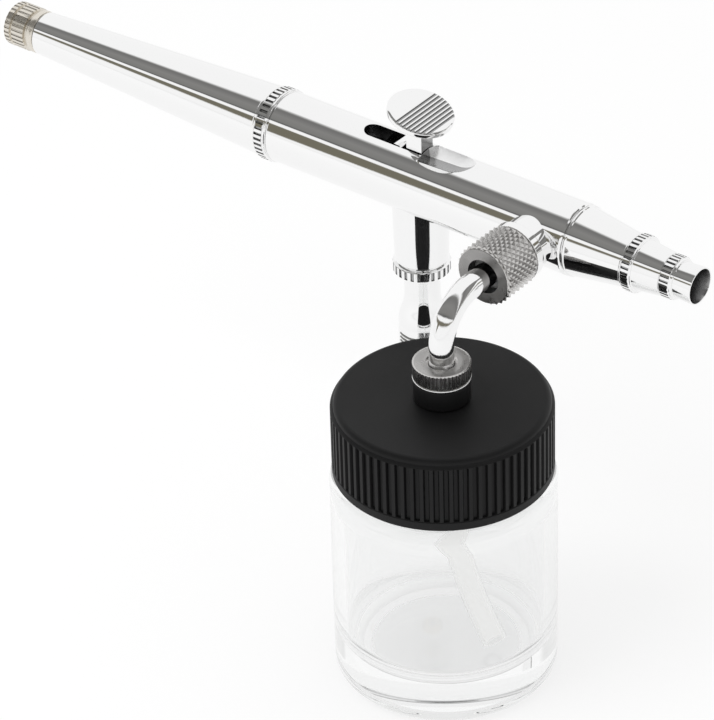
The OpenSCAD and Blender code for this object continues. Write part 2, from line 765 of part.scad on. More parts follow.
module feed_tube() {
    bend_y = jar_y + bend_r;
    flange_y = port_thread_end + 0.4 + 2 * run_gap;
    barb_end = dip_top - barb_len;
    color("silver") difference() {
        union() {
            on_port(0) rod(tube_r, tube_start, -bend_y);
            on_port(flange_y) cylinder(h = flange_t, r = flange_r);
            translate([jar_x, bend_y, axis_z - bend_r]) rotate([0, 90, 0]) rotate([0, 0, 180])
                rotate_extrude(angle = 90) translate([bend_r, 0]) circle(r = tube_r);
            on_jar(0) rod(tube_r, dip_top + run_gap, axis_z - bend_r);
            on_jar(0) rod(dip_bore_r - seat_gap, barb_end, axis_z - bend_r);
        }
        on_port(0) rod(tube_bore_r, tube_start - eps, -bend_y);
        translate([jar_x, bend_y, axis_z - bend_r]) rotate([0, 90, 0]) rotate([0, 0, 180])
            rotate_extrude(angle = 90) translate([bend_r, 0]) circle(r = tube_bore_r);
        on_jar(0) rod(tube_bore_r, barb_end - eps, axis_z - bend_r);
    }
}

module cap_nut() {
    r = cap_nut_d / 2;
    color("darkgray") on_jar(cap_nut_z) difference() {
        union() {
            knurled(44, r, 0.25, 0, cap_nut_h - 0.2);
            turned([[0, 0], [r - 0.2, 0], [r - 0.2, cap_nut_h - 0.15], [r - 0.35, cap_nut_h], [0, cap_nut_h]]);
        }
        translate([0, 0, -eps]) cylinder(h = cap_nut_h + 2 * eps, r = tube_r + seat_gap);
        translate([0, 0, cap_nut_h - 0.3]) cylinder(h = 1, r1 = tube_r, r2 = tube_r + 1);
    }
}

module cap_washer() {
    color("silver") on_jar(washer_z) difference() {
        cylinder(h = washer_t, d = cap_nut_d + 0.1);
        translate([0, 0, -eps]) cylinder(h = 2, r = tube_r + seat_gap);
    }
}

module feed_bush() {
    foot = lock_nut_top - lock_nut_h - 0.3;
    color("black") on_jar(0) difference() {
        turned([[0, foot], [bush_stem_r, foot], [bush_stem_r, cap_top + seat_gap], [bush_r - 0.3, cap_top + seat_gap],
            [bush_r, cap_top + 0.3], [bush_r, cap_top + bush_h - 0.2], [bush_r - 0.2, cap_top + bush_h],
            [0, cap_top + bush_h]]);
        rod(tube_r + seat_gap, foot - eps, cap_top + bush_h + eps);
    }
}

module cap_lock_nut() {
    color("dimgray") on_jar(lock_nut_top - lock_nut_h) difference() {
        cylinder(h = lock_nut_h, r = bush_stem_r + 2.2, $fn = 6);
        translate([0, 0, -eps]) cylinder(h = lock_nut_h + 2 * eps, r = bush_stem_r + seat_gap);
    }
}

module jar_cap() {
    rib_r = cap_r - rib_depth;
    rim_h = 1.5;
    rim_edge = 0.2;
    crown_r = 0.9;
    rib_top = cap_top - crown_r - 0.1;
    color([0.08, 0.08, 0.08]) on_jar(0) difference() {
        union() {
            knurled(cap_ribs, cap_r, rib_depth, cap_bottom + rim_h + rim_edge / 2, rib_top);
            turned(concat([[0, cap_bottom], [cap_r - rim_edge, cap_bottom], [cap_r, cap_bottom + rim_edge],
                [cap_r, cap_bottom + rim_h], [rib_r, cap_bottom + rim_h + rim_edge], [rib_r, rib_top]],
                arc_points([rib_r - crown_r, cap_top - crown_r], crown_r, 10, 90, 4), [[0, cap_top]]));
        }
        rod(cap_bore_r, cap_bottom - eps, cap_top - cap_wall_top);
        rod(bush_stem_r + seat_gap, cap_bottom, cap_top + eps);
    }
}

module cap_gasket() {
    color("white") on_jar(gasket_z) difference() {
        cylinder(h = gasket_t, r = cap_bore_r - 0.2);
        translate([0, 0, -eps]) cylinder(h = 2, r = bush_stem_r + seat_gap);
    }
}

// Soft pick-up tube: straight under the cap, then curved towards the nozzle side
module dip_tube() {
    bend_z = dip_top - dip_straight;
    floor_z = base_z + glass_base + dip_clear;
    curve_r = (bend_z - floor_z) / sin(dip_lean) - dip_r;
    color([0.9, 0.92, 0.95, 0.6]) on_jar(0) difference() {
        dip_solid(dip_r, bend_z, curve_r, 0);
        dip_solid(dip_bore_r, bend_z, curve_r, eps);
    }
}

module dip_solid(r, bend_z, curve_r, past) {
    rod(r, bend_z, dip_top + past);
    translate([curve_r, 0, bend_z]) rotate([90, 0, 0]) rotate([0, 0, 180])
        rotate_extrude(angle = dip_lean + past) translate([curve_r, 0]) circle(r = r);
}

module jar() {
    cap_lift = 0.4;
    shoulder = cap_bottom - cap_lift;
    shoulder_r = 1.6;
    shoulder_turn = 80;
    neck_turn = 70;
    neck_fall = 1;
    stand_w = 2;
    foot_r = 2.5;
    floor_r = 3;
    push_up = 0.6;
    stand_r = jar_r - foot_r - stand_w;
    in_floor = base_z + glass_base;
    color([0.85, 0.93, 0.95, 0.35]) on_jar(0) turned(concat(
        [[0, base_z + push_up], [stand_r - push_up, base_z + push_up], [stand_r, base_z]],
        arc_points([jar_r - foot_r, base_z + foot_r], foot_r, -90, 0),
        arc_points([jar_r - shoulder_r, shoulder - shoulder_r], shoulder_r, 0, shoulder_turn),
        [[neck_r, shoulder], [neck_r, jar_top], [neck_in_r, jar_top],
            [neck_in_r, shoulder - glass_wall + neck_fall]],
        arc_points([jar_in_r - floor_r, shoulder - glass_wall - floor_r], floor_r, neck_turn, 0),
        arc_points([jar_in_r - floor_r, in_floor + floor_r], floor_r, 0, -90),
        [[0, in_floor]]));
}

main_body();
spray_head();
head_seal();
fluid_nozzle();
nozzle_cap();
needle_cap();
needle_packing();
packing_screw();
spring_housing();
needle_spring();
handle();
preset_screw();
preset_knob();
trigger();
aux_lever();
lever_pin();
needle_guide();
needle_chuck_nut();
needle();
valve_body();
valve_plunger();
valve_seal();
valve_spring();
valve_guide_screw();
clamp_nut();
port_seal();
feed_tube();
cap_nut();
cap_washer();
feed_bush();
cap_lock_nut();
jar_cap();
cap_gasket();
dip_tube();
jar();
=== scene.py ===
"""Finished surfaces of a dual-action side-feed airbrush, built around its CAD frame."""

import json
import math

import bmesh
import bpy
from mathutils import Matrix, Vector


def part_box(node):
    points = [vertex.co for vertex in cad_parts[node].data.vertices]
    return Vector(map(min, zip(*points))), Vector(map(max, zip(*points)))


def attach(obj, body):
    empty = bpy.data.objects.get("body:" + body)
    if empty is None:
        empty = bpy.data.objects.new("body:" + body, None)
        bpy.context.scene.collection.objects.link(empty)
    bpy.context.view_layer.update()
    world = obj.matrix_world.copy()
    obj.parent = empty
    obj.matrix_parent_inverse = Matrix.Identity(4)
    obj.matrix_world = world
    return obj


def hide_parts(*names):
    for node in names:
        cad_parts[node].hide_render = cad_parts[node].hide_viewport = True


bl_info = {
    "name": "Airbrush Dresser",
    "version": (1, 0, 0),
    "blender": (4, 5, 0),
    "location": "View3D > Sidebar > Airbrush",
    "description": "Models and finishes the visible pieces of a side-feed airbrush",
    "category": "Object",
}

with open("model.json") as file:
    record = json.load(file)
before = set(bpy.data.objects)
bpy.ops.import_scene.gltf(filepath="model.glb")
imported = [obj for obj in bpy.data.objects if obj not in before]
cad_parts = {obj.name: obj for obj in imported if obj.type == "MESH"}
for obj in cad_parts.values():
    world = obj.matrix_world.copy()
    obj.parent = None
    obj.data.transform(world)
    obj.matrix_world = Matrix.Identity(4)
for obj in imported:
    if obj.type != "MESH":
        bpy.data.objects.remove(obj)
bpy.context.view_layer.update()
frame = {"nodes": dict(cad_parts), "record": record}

MM = 0.001
X, Y, Z = 0, 1, 2
FULL_TURN = 2 * math.pi


def span(node, axis):
    """Lowest and highest place of a CAD node along an axis, in millimetres."""
    low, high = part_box(node)
    return low[axis] / MM, high[axis] / MM


def middle(node, axis):
    """Middle of a CAD node along an axis, in millimetres."""
    return sum(span(node, axis)) / 2


def half_width(node, axis):
    """Half of a CAD node's extent along an axis, in millimetres."""
    low, high = span(node, axis)
    return (high - low) / 2


# Axes that the turned pieces sit on: a point in millimetres and the turn from +Z
GUN_Z = middle("needle", Z)
JAR_X = middle("jar", X)
JAR_Y = middle("jar", Y)
BARREL = (Vector((0, 0, GUN_Z)), (0, math.pi / 2, 0))
PORT = (Vector((JAR_X, 0, GUN_Z)), (math.pi / 2, 0, 0))
VALVE = (Vector((0, 0, 0)), (0, 0, 0))
JAR = (Vector((JAR_X, JAR_Y, 0)), (0, 0, 0))

# Places that several pieces share, in millimetres
BODY_R = 6.0
BODY_FRONT = span("main_body", X)[1]
TAIL_X = span("main_body", X)[0]
HANDLE_BACK, HANDLE_FRONT = span("handle", X)
NOZZLE_X = span("nozzle_cap", X)[0]
NEEDLE_CAP_X, MOUTH_X = span("needle_cap", X)
VALVE_TOP = span("main_body", Z)[0]
CAP_BOTTOM, CAP_TOP = span("jar_cap", Z)
JAR_BASE, JAR_TOP = span("jar", Z)
TAIL_R = 4.7
SLOT_W = 3.5
CHAMBER_R = 3.8
CHAMBER_X = 3.2
SOCKET_X = JAR_X + 1.8
SOCKET_R = 3.5
FLUID_R = 1.3
PRESET_R = 1.75
TUBE_R = 2.0
TUBE_HOLE_R = TUBE_R + 0.05
BUSH_STEM_R = 3.4
JAR_FLOOR = JAR_BASE + 6.0

# Faces to a knurl's tooth, edge rounding of the small rings, and how close points must lie to be merged
TOOTH_STEPS = 8
RING_EDGE = 0.05 * MM
MERGE_GAP = 0.002 * MM


class AirbrushSizes(bpy.types.PropertyGroup):
    """Sizes of the fine forms on the pieces"""

    edge_round: bpy.props.FloatProperty(
        name="Edge rounding", description="Width of the broken edges on turned metal",
        default=0.09 * MM, min=0, unit="LENGTH")
    turned_steps: bpy.props.IntProperty(
        name="Turned steps", description="Faces round a smooth turned piece", default=240, min=48)
    ring_teeth: bpy.props.IntProperty(
        name="Handle ring teeth", description="Teeth round the handle's ring", default=40, min=12)
    nozzle_teeth: bpy.props.IntProperty(
        name="Nozzle cap teeth", description="Teeth round the nozzle cap", default=34, min=12)
    needle_teeth: bpy.props.IntProperty(
        name="Needle cap teeth", description="Teeth round the needle cap", default=28, min=12)
    knob_teeth: bpy.props.IntProperty(
        name="Preset knob teeth", description="Teeth round the preset knob", default=28, min=12)
    valve_teeth: bpy.props.IntProperty(
        name="Valve ring teeth", description="Teeth round the air valve's ring", default=26, min=12)
    nut_columns: bpy.props.IntProperty(
        name="Clamp nut columns", description="Points of the diamond knurl round the clamp nut",
        default=56, min=24)
    nut_rows: bpy.props.IntProperty(
        name="Clamp nut rows", description="Points of the diamond knurl along the clamp nut",
        default=12, min=6)
    cap_nut_teeth: bpy.props.IntProperty(
        name="Cap nut teeth", description="Teeth round the small nut on the cap", default=48, min=12)
    cap_ribs: bpy.props.IntProperty(
        name="Cap ribs", description="Grip ribs round the jar's cap", default=72, min=24)
    thread_pitch: bpy.props.FloatProperty(
        name="Hose thread pitch", description="Spacing of the air inlet's thread",
        default=0.7 * MM, min=0.3 * MM, unit="LENGTH")


class AirbrushColours(bpy.types.PropertyGroup):
    """Colours of the finishes"""

    chrome: bpy.props.FloatVectorProperty(
        name="Chrome", description="Tint of the bright plating", subtype="COLOR",
        default=(0.9, 0.9, 0.9), min=0, max=1)
    nickel: bpy.props.FloatVectorProperty(
        name="Nickel", description="Tint of the preset knob's plating", subtype="COLOR",
        default=(0.74, 0.7, 0.63), min=0, max=1)
    satin: bpy.props.FloatVectorProperty(
        name="Satin steel", description="Tint of the knurled nuts", subtype="COLOR",
        default=(0.58, 0.57, 0.56), min=0, max=1)
    steel: bpy.props.FloatVectorProperty(
        name="Ground steel", description="Tint of the needle and the springs", subtype="COLOR",
        default=(0.7, 0.7, 0.71), min=0, max=1)
    brass: bpy.props.FloatVectorProperty(
        name="Brass", description="Tint of the turned brass pieces", subtype="COLOR",
        default=(0.78, 0.6, 0.32), min=0, max=1)
    black: bpy.props.FloatVectorProperty(
        name="Black plastic", description="Colour of the cap and the bush", subtype="COLOR",
        default=(0.006, 0.006, 0.0063), min=0, max=1)
    seal: bpy.props.FloatVectorProperty(
        name="Sealing plastic", description="Colour of the white seals", subtype="COLOR",
        default=(0.86, 0.86, 0.84), min=0, max=1)
    rubber: bpy.props.FloatVectorProperty(
        name="Rubber", description="Colour of the valve's seal", subtype="COLOR",
        default=(0.03, 0.03, 0.03), min=0, max=1)
    glass: bpy.props.FloatVectorProperty(
        name="Glass", description="Tint of the jar's glass", subtype="COLOR",
        default=(0.95, 0.953, 0.952), min=0, max=1)
    tube: bpy.props.FloatVectorProperty(
        name="Clear plastic", description="Tint of the dip tube", subtype="COLOR",
        default=(0.975, 0.975, 0.97), min=0, max=1)


class AirbrushStudio(bpy.types.PropertyGroup):
    """Camera, floor and light"""

    eye: bpy.props.FloatVectorProperty(
        name="Camera place", description="Where the camera stands", subtype="TRANSLATION", unit="LENGTH",
        default=(356.142 * MM, -463.617 * MM, 404.1 * MM))
    target: bpy.props.FloatVectorProperty(
        name="Camera target", description="Where the camera looks", subtype="TRANSLATION", unit="LENGTH",
        default=(-2.877 * MM, -14.056 * MM, 5.351 * MM))
    roll: bpy.props.FloatProperty(
        name="Camera roll", description="Turn of the camera about its own line of sight",
        default=math.radians(-1.787), subtype="ANGLE")
    lens: bpy.props.FloatProperty(
        name="Lens", description="Focal length in millimetres of a 36 mm sensor", default=216.0, min=10)
    floor_size: bpy.props.FloatProperty(
        name="Floor size", description="Side of the pale floor", default=6.0, min=0.5, unit="LENGTH")
    floor_shade: bpy.props.FloatProperty(
        name="Floor shade", description="Share of the floor's whiteness that comes from the light on it",
        default=0.3, min=0, max=1, subtype="FACTOR")
    ambient: bpy.props.FloatProperty(
        name="Ambient", description="Even light from the room", default=0.75, min=0)
    key_power: bpy.props.FloatProperty(
        name="Key power", description="Power of the large soft lamp in watts", default=3.0, min=0)


# Modelling helpers

def deselect():
    """Leaves edit mode and deselects every object."""
    active = bpy.context.view_layer.objects.active
    if active is not None and active.mode != "OBJECT":
        bpy.ops.object.mode_set(mode="OBJECT")
    bpy.ops.object.select_all(action="DESELECT")


def pick(piece):
    """Makes a piece the only selected object."""
    deselect()
    bpy.context.view_layer.objects.active = piece
    piece.select_set(True)


def edit(piece):
    """Opens a piece in edit mode with vertices as what is picked."""
    pick(piece)
    bpy.ops.object.mode_set(mode="EDIT")
    bpy.ops.mesh.select_mode(type="VERT")


def choose(piece, wanted):
    """Selects the vertices of an open piece for which wanted(place in millimetres) is true."""
    mesh = bmesh.from_edit_mesh(piece.data)
    for vert in mesh.verts:
        vert.select_set(False)
    for vert in mesh.verts:
        if wanted(vert.co / MM):
            vert.select_set(True)
    mesh.select_flush_mode()
    bmesh.update_edit_mesh(piece.data)


def off_axis(place):
    """Distance of a place from the gun's axis."""
    return math.hypot(place.y, place.z - GUN_Z)


def arc(radius, height, r, start, end, steps=8):
    """Points of an arc about (radius, height), from one angle to another in degrees."""
    turns = [math.radians(start + (end - start) * i / steps) for i in range(steps + 1)]
    return [(radius + r * math.cos(a), height + r * math.sin(a)) for a in turns]


def band(radius, low, high, edge=0.05):
    """Points of a plain band with a narrow strip at either end, ready to be knurled."""
    return [(radius, low), (radius, low + edge), (radius, high - edge), (radius, high)]


def heal():
    """Merges the doubled points of the open piece and turns its faces outwards."""
    bpy.ops.mesh.select_all(action="SELECT")
    bpy.ops.mesh.remove_doubles(threshold=MERGE_GAP)
    bpy.ops.mesh.normals_make_consistent(inside=False)


def spun(name, outline, steps):
    """A closed piece spun about +Z from (radius, height) points in millimetres, left in edit mode."""
    deselect()
    bpy.ops.mesh.primitive_plane_add(size=MM, enter_editmode=True)
    piece = bpy.context.object
    piece.name = piece.data.name = name
    bpy.ops.mesh.select_mode(type="VERT")
    bpy.ops.mesh.select_all(action="SELECT")
    bpy.ops.mesh.merge(type="CENTER")
    here = Vector((0, 0, 0))
    for place, (radius, height) in enumerate(outline):
        step = Vector((radius, 0, height)) * MM - here
        if place == 0:
            bpy.ops.transform.translate(value=step)
        else:
            bpy.ops.mesh.extrude_region_move(TRANSFORM_OT_translate={"value": step})
        here = here + step
    bpy.ops.mesh.select_all(action="SELECT")
    bpy.ops.mesh.spin(steps=steps, angle=FULL_TURN, center=(0, 0, 0), axis=(0, 0, 1))
    heal()
    return piece


def break_edges(width, sharpness=25):
    """Bevels the sharp edges of the open piece."""
    bpy.ops.mesh.select_mode(type="EDGE")
    bpy.ops.mesh.select_all(action="DESELECT")
    bpy.ops.mesh.edges_select_sharp(sharpness=math.radians(sharpness))
    bpy.ops.mesh.bevel(offset=width, segments=2, affect="EDGES", clamp_overlap=True)
    bpy.ops.mesh.select_mode(type="VERT")


def turned(name, outline, steps=None, edge=None):
    """A turned piece with broken edges, left in edit mode."""
    sizes = bpy.context.scene.airbrush_sizes
    piece = spun(name, outline, steps or sizes.turned_steps)
    break_edges(sizes.edge_round if edge is None else edge)
    return piece


def sink(radius, depth):
    """Moves what is selected at a radius nearer to the +Z axis."""
    shrink = 1 - depth / radius
    bpy.ops.transform.resize(value=(shrink, shrink, 1), center_override=(0, 0, 0))


def knurl(piece, teeth, low, high, radius, depth, land=0.62, material=1):
    """Sinks the gaps of a straight knurl between two heights of an open turned piece."""
    off_step = 0.02

    def in_gap(place):
        reach = math.hypot(place.x, place.y)
        turn = (math.atan2(place.y, place.x) / FULL_TURN * teeth + off_step) % 1
        return low < place.z < high and abs(reach - radius) < 0.5 * depth and turn >= land

    choose(piece, in_gap)
    sink(radius, depth)
    # The gap faces take the given material; on the metal pieces that is a darkened copy of the plate,
    # painted shade in the gaps.
    mesh = bmesh.from_edit_mesh(piece.data)
    for face in mesh.faces:
        if sum(vert.select for vert in face.verts) >= 2:
            face.material_index = material
    bmesh.update_edit_mesh(piece.data)


def shade_where(piece, number, wanted):
    """Gives another of the piece's materials to the faces where wanted(middle in millimetres) is true."""
    deselect()
    for face in piece.data.polygons:
        if wanted(face.center / MM):
            face.material_index = number


def shade_inside(tool):
    """Marks every face of a tool, so that what it cuts takes the piece's second material, a darkened copy
    that paints shade into the cut.
    """
    shade_where(tool, 1, lambda place: True)


def seat(piece, place):
    """Turns and moves a piece from the +Z axis onto its own axis."""
    origin, turn = place
    pick(piece)
    piece.rotation_euler = turn
    piece.location = origin * MM
    bpy.ops.object.transform_apply(location=True, rotation=True, scale=True)


def rod(name, place, radius, low, high, steps=None, edge=0):
    """A round bar between two heights, seated on an axis."""
    bar = turned(name, [(0, low), (radius, low), (radius, high), (0, high)], steps, edge)
    seat(bar, place)
    return bar


def block(place, sides, lean=0):
    """A block about a place, with these sides in millimetres, that leans along X."""
    deselect()
    bpy.ops.mesh.primitive_cube_add(
        size=MM, location=Vector(place) * MM, rotation=(0, lean, 0), scale=sides)
    bpy.ops.object.transform_apply(location=True, rotation=True, scale=True)
    return bpy.context.object


def tube_ring(name, place, turn, vertices):
    """The open end of a tube, selected in edit mode so that the tube can be drawn from it."""
    deselect()
    bpy.ops.mesh.primitive_circle_add(
        vertices=vertices, radius=TUBE_R * MM, rotation=turn, location=Vector(place) * MM)
    tube = bpy.context.object
    tube.name = tube.data.name = name
    bpy.ops.object.transform_apply(location=True, rotation=True, scale=True)
    edit(tube)
    bpy.ops.mesh.select_all(action="SELECT")
    return tube


def draw_tube(*step):
    """Draws the selected end of a tube on by a step in millimetres."""
    bpy.ops.mesh.extrude_region_move(TRANSFORM_OT_translate={"value": Vector(step) * MM})


def wall_tube(tube, wall):
    """Gives a drawn tube its wall, inwards from its outer face."""
    heal()
    deselect()
    modify(tube, "SOLIDIFY", thickness=wall * MM, offset=-1)


def modify(piece, kind, **settings):
    """Adds a modifier with these settings and applies it."""
    pick(piece)
    bpy.ops.object.modifier_add(type=kind)
    modifier = piece.modifiers[-1]
    for key, value in settings.items():
        setattr(modifier, key, value)
    bpy.ops.object.modifier_apply(modifier=modifier.name)


def combine(piece, tool, operation):
    """Joins a tool to a piece, or cuts it away, and removes the tool."""
    pick(tool)
    modify(piece, "BOOLEAN", operation=operation, object=tool, solver="EXACT")
    bpy.data.objects.remove(tool)


def finish_piece(piece, material, slot, body, *nodes, angle=32, more=()):
    """Smooths a piece, gives it its materials and puts it in place of its CAD nodes."""
    pick(piece)
    bpy.ops.object.shade_smooth_by_angle(angle=math.radians(angle))
    modify(piece, "WEIGHTED_NORMAL", keep_sharp=True)
    for finish in (material, *more):
        piece.data.materials.append(finish)
    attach(piece, body)
    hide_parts(*nodes)
    return piece


# Shader helpers

def link(tree, start, end):
    """Links two sockets of a node tree."""
    tree.links.new(start, end)


def math_node(tree, operation, *values):
    """A math node on sockets or numbers, as its output socket."""
    node = tree.nodes.new("ShaderNodeMath")
    node.operation = operation
    for place, value in enumerate(values):
        if isinstance(value, bpy.types.NodeSocket):
            link(tree, value, node.inputs[place])
        else:
            node.inputs[place].default_value = value
    return node.outputs[0]


def mix_colours(tree, factor, first, second):
    """A mix of two colours, each a socket or a plain colour, as its colour socket."""
    node = tree.nodes.new("ShaderNodeMix")
    node.data_type = "RGBA"
    link(tree, factor, node.inputs["Factor"])
    ends = [socket for socket in node.inputs if socket.type == "RGBA"]
    for socket, value in zip(ends, (first, second)):
        if isinstance(value, bpy.types.NodeSocket):
            link(tree, value, socket)
        else:
            socket.default_value = (*value, 1)
    return next(socket for socket in node.outputs if socket.type == "RGBA")


def mix_shaders(tree, factor, first, second):
    """A mix of two shaders, each an output socket, as its shader socket."""
    node = tree.nodes.new("ShaderNodeMixShader")
    for socket, value in zip(node.inputs, (factor, first, second)):
        link(tree, value, socket)
    return node.outputs["Shader"]


def range_node(tree, value, low, high):
    """A map range node that spreads what lies between low and high over 0 to 1."""
    node = tree.nodes.new("ShaderNodeMapRange")
    link(tree, value, node.inputs["Value"])
    node.inputs["From Min"].default_value = low
    node.inputs["From Max"].default_value = high
    return node


def ramp_node(tree, factor, stops):
    """A colour ramp with stops of (place, colour), as its colour socket."""
    node = tree.nodes.new("ShaderNodeValToRGB")
    ramp = node.color_ramp
    while len(ramp.elements) > 1:
        ramp.elements.remove(ramp.elements[-1])
    for number, (place, colour) in enumerate(stops):
        element = ramp.elements[0] if number == 0 else ramp.elements.new(place)
        element.position = place
        element.color = (*colour, 1)
    link(tree, factor, node.inputs["Fac"])
    return node.outputs["Color"]


def new_group(name, inputs, outputs):
    """A shader node group with float inputs of (name, default) and outputs of (name, type)."""
    group = bpy.data.node_groups.new(name, "ShaderNodeTree")
    for title, default in inputs:
        socket = group.interface.new_socket(title, in_out="INPUT", socket_type="NodeSocketFloat")
        socket.default_value = default
    for title, kind in outputs:
        group.interface.new_socket(title, in_out="OUTPUT", socket_type=kind)
    return group, group.nodes.new("NodeGroupInput"), group.nodes.new("NodeGroupOutput")


def object_noise(group, detail, scale):
    """A noise node on Object coordinates, with its scale from a socket or a number."""
    place = group.nodes.new("ShaderNodeTexCoord")
    noise = group.nodes.new("ShaderNodeTexNoise")
    noise.inputs["Detail"].default_value = detail
    link(group, place.outputs["Object"], noise.inputs["Vector"])
    if isinstance(scale, bpy.types.NodeSocket):
        link(group, scale, noise.inputs["Scale"])
    else:
        noise.inputs["Scale"].default_value = scale
    return noise


def spread_roughness(group, start, end, value, low, high):
    """Spreads a noise between the group's Smooth and Dull inputs to its Roughness output."""
    blend = range_node(group, value, low, high)
    link(group, start.outputs["Smooth"], blend.inputs["To Min"])
    link(group, start.outputs["Dull"], blend.inputs["To Max"])
    link(group, blend.outputs["Result"], end.inputs["Roughness"])


def handling_marks():
    """Group: uneven roughness and a faint waviness, as on handled polished metal."""
    name = "Handling Marks"
    if name in bpy.data.node_groups:
        return bpy.data.node_groups[name]
    group, start, end = new_group(
        name,
        [("Scale", 250.0), ("Smooth", 0.03), ("Dull", 0.09)],
        [("Roughness", "NodeSocketFloat"), ("Height", "NodeSocketFloat")])
    cloud = object_noise(group, 6, start.outputs["Scale"])
    cloud.inputs["Roughness"].default_value = 0.65
    spread_roughness(group, start, end, cloud.outputs["Fac"], 0.35, 0.75)
    link(group, cloud.outputs["Fac"], end.inputs["Height"])
    return group


def moulded_grain():
    """Group: the fine matt grain of a moulded surface, with slight colour change."""
    name = "Moulded Grain"
    if name in bpy.data.node_groups:
        return bpy.data.node_groups[name]
    group, start, end = new_group(
        name,
        [("Scale", 6000.0), ("Smooth", 0.45), ("Dull", 0.6)],
        [("Roughness", "NodeSocketFloat"), ("Height", "NodeSocketFloat"), ("Shade", "NodeSocketFloat")])
    fine = object_noise(group, 3, start.outputs["Scale"])
    broad = object_noise(group, 4, 120)
    spread_roughness(group, start, end, broad.outputs["Fac"], 0, 1)
    link(group, fine.outputs["Fac"], end.inputs["Height"])
    link(group, broad.outputs["Fac"], end.inputs["Shade"])
    return group


def new_material(name):
    """A node material with its Principled shader, as (material, tree, shader)."""
    material = bpy.data.materials.new(name)
    material.use_nodes = True
    tree = material.node_tree
    return material, tree, tree.nodes["Principled BSDF"]


def place_group(tree, group, **values):
    """Places a node group in a material with its own values."""
    node = tree.nodes.new("ShaderNodeGroup")
    node.node_tree = group
    for key, value in values.items():
        node.inputs[key].default_value = value
    return node


def raise_bump(tree, shader, height, strength, distance):
    """Feeds a height into the shader's normal through a bump node."""
    bump = tree.nodes.new("ShaderNodeBump")
    bump.inputs["Strength"].default_value = strength
    bump.inputs["Distance"].default_value = distance
    link(tree, height, bump.inputs["Height"])
    link(tree, bump.outputs["Normal"], shader.inputs["Normal"])


def metal(name, colour, smooth, dull, scale=250.0, bump=0.02, axis=None):
    """A polished or satin metal with handling marks, and turning marks about an axis where one is named."""
    if name in bpy.data.materials:
        return bpy.data.materials[name]
    material, tree, shader = new_material(name)
    shader.inputs["Base Color"].default_value = (*colour, 1)
    shader.inputs["Metallic"].default_value = 1
    marks = place_group(tree, handling_marks(), Scale=scale, Smooth=smooth, Dull=dull)
    link(tree, marks.outputs["Roughness"], shader.inputs["Roughness"])
    raise_bump(tree, shader, marks.outputs["Height"], bump, 0.2 * MM)
    if axis is not None:
        tangent = tree.nodes.new("ShaderNodeTangent")
        tangent.direction_type = "RADIAL"
        tangent.axis = axis
        link(tree, tangent.outputs["Tangent"], shader.inputs["Tangent"])
        shader.inputs["Anisotropic"].default_value = 0.85
    return material


def plastic(name, colour, smooth, dull, bump=0.25, sheen=0.5):
    """A moulded plastic or rubber with a fine grain."""
    if name in bpy.data.materials:
        return bpy.data.materials[name]
    material, tree, shader = new_material(name)
    shader.inputs["Specular IOR Level"].default_value = sheen
    grain = place_group(tree, moulded_grain(), Smooth=smooth, Dull=dull)
    light = [min(1, channel * 1.25) for channel in colour]
    shade = ramp_node(tree, grain.outputs["Shade"], [(0.3, darker(colour, 0.8)), (0.7, light)])
    link(tree, shade, shader.inputs["Base Color"])
    link(tree, grain.outputs["Roughness"], shader.inputs["Roughness"])
    raise_bump(tree, shader, grain.outputs["Height"], bump, 0.05 * MM)
    return material


def clear(name, colour, roughness, ior, caught, shade):
    """Clear glass or plastic that lets lamp light through, with a painted glow (an emission) where light is
    caught inside.
    """
    if name in bpy.data.materials:
        return bpy.data.materials[name]
    material, tree, shader = new_material(name)
    shader.inputs["Base Color"].default_value = (*colour, 1)
    shader.inputs["Transmission Weight"].default_value = 1
    shader.inputs["IOR"].default_value = ior
    marks = place_group(tree, handling_marks(), Scale=400.0, Smooth=roughness, Dull=roughness + 0.02)
    link(tree, marks.outputs["Roughness"], shader.inputs["Roughness"])
    path = tree.nodes.new("ShaderNodeLightPath")
    # Painted glow: a white emission mixed in where rays have bounced more times than caught, standing in
    # for light caught inside.
    painted_glow = tree.nodes.new("ShaderNodeEmission")
    painted_glow.inputs["Strength"].default_value = 0.9
    lost = math_node(tree, "GREATER_THAN", path.outputs["Ray Depth"], caught)
    painted_glow_share = math_node(tree, "MULTIPLY", lost, 0.6)
    deep = mix_shaders(tree, painted_glow_share, shader.outputs["BSDF"], painted_glow.outputs["Emission"])
    through = tree.nodes.new("ShaderNodeBsdfTransparent")
    through.inputs["Color"].default_value = (shade, shade, shade, 1)
    soft = math_node(tree, "MAXIMUM", path.outputs["Is Shadow Ray"], path.outputs["Is Diffuse Ray"])
    glass = mix_shaders(tree, soft, deep, through.outputs["BSDF"])
    link(tree, glass, tree.nodes["Material Output"].inputs["Surface"])
    return material


def colours():
    """The colours that the panel shows."""
    return bpy.context.scene.airbrush_colours


def darker(colour, share):
    """A colour darkened to a share of itself."""
    return [share * channel for channel in colour]


def chrome():
    """Bright chrome plate."""
    return metal("bright_chrome", colours().chrome, smooth=0.02, dull=0.06)


def painted_shade_chrome():
    """Chrome plate darkened to 0.4: painted shade in knurl gaps, grooves and hollows, and a painted dark
    reflection on faces where the room hardly shows.
    """
    return metal("chrome_in_gaps", darker(colours().chrome, 0.4), smooth=0.16, dull=0.3)


def drawn_chrome():
    """Chrome plate over drawn tube."""
    return metal("drawn_chrome", colours().chrome, smooth=0.04, dull=0.12, scale=400.0, bump=0.08)


def worn_chrome():
    """Chrome plate that the finger has dulled."""
    return metal("worn_chrome", colours().chrome, smooth=0.28, dull=0.4, scale=500.0, bump=0.04)


def bored_metal():
    """Bare metal inside the bores, darkened to a tenth as painted shade."""
    tint = darker(colours().steel, 0.1)
    return metal("bored_metal", tint, smooth=0.3, dull=0.5, scale=900.0, bump=0.05)


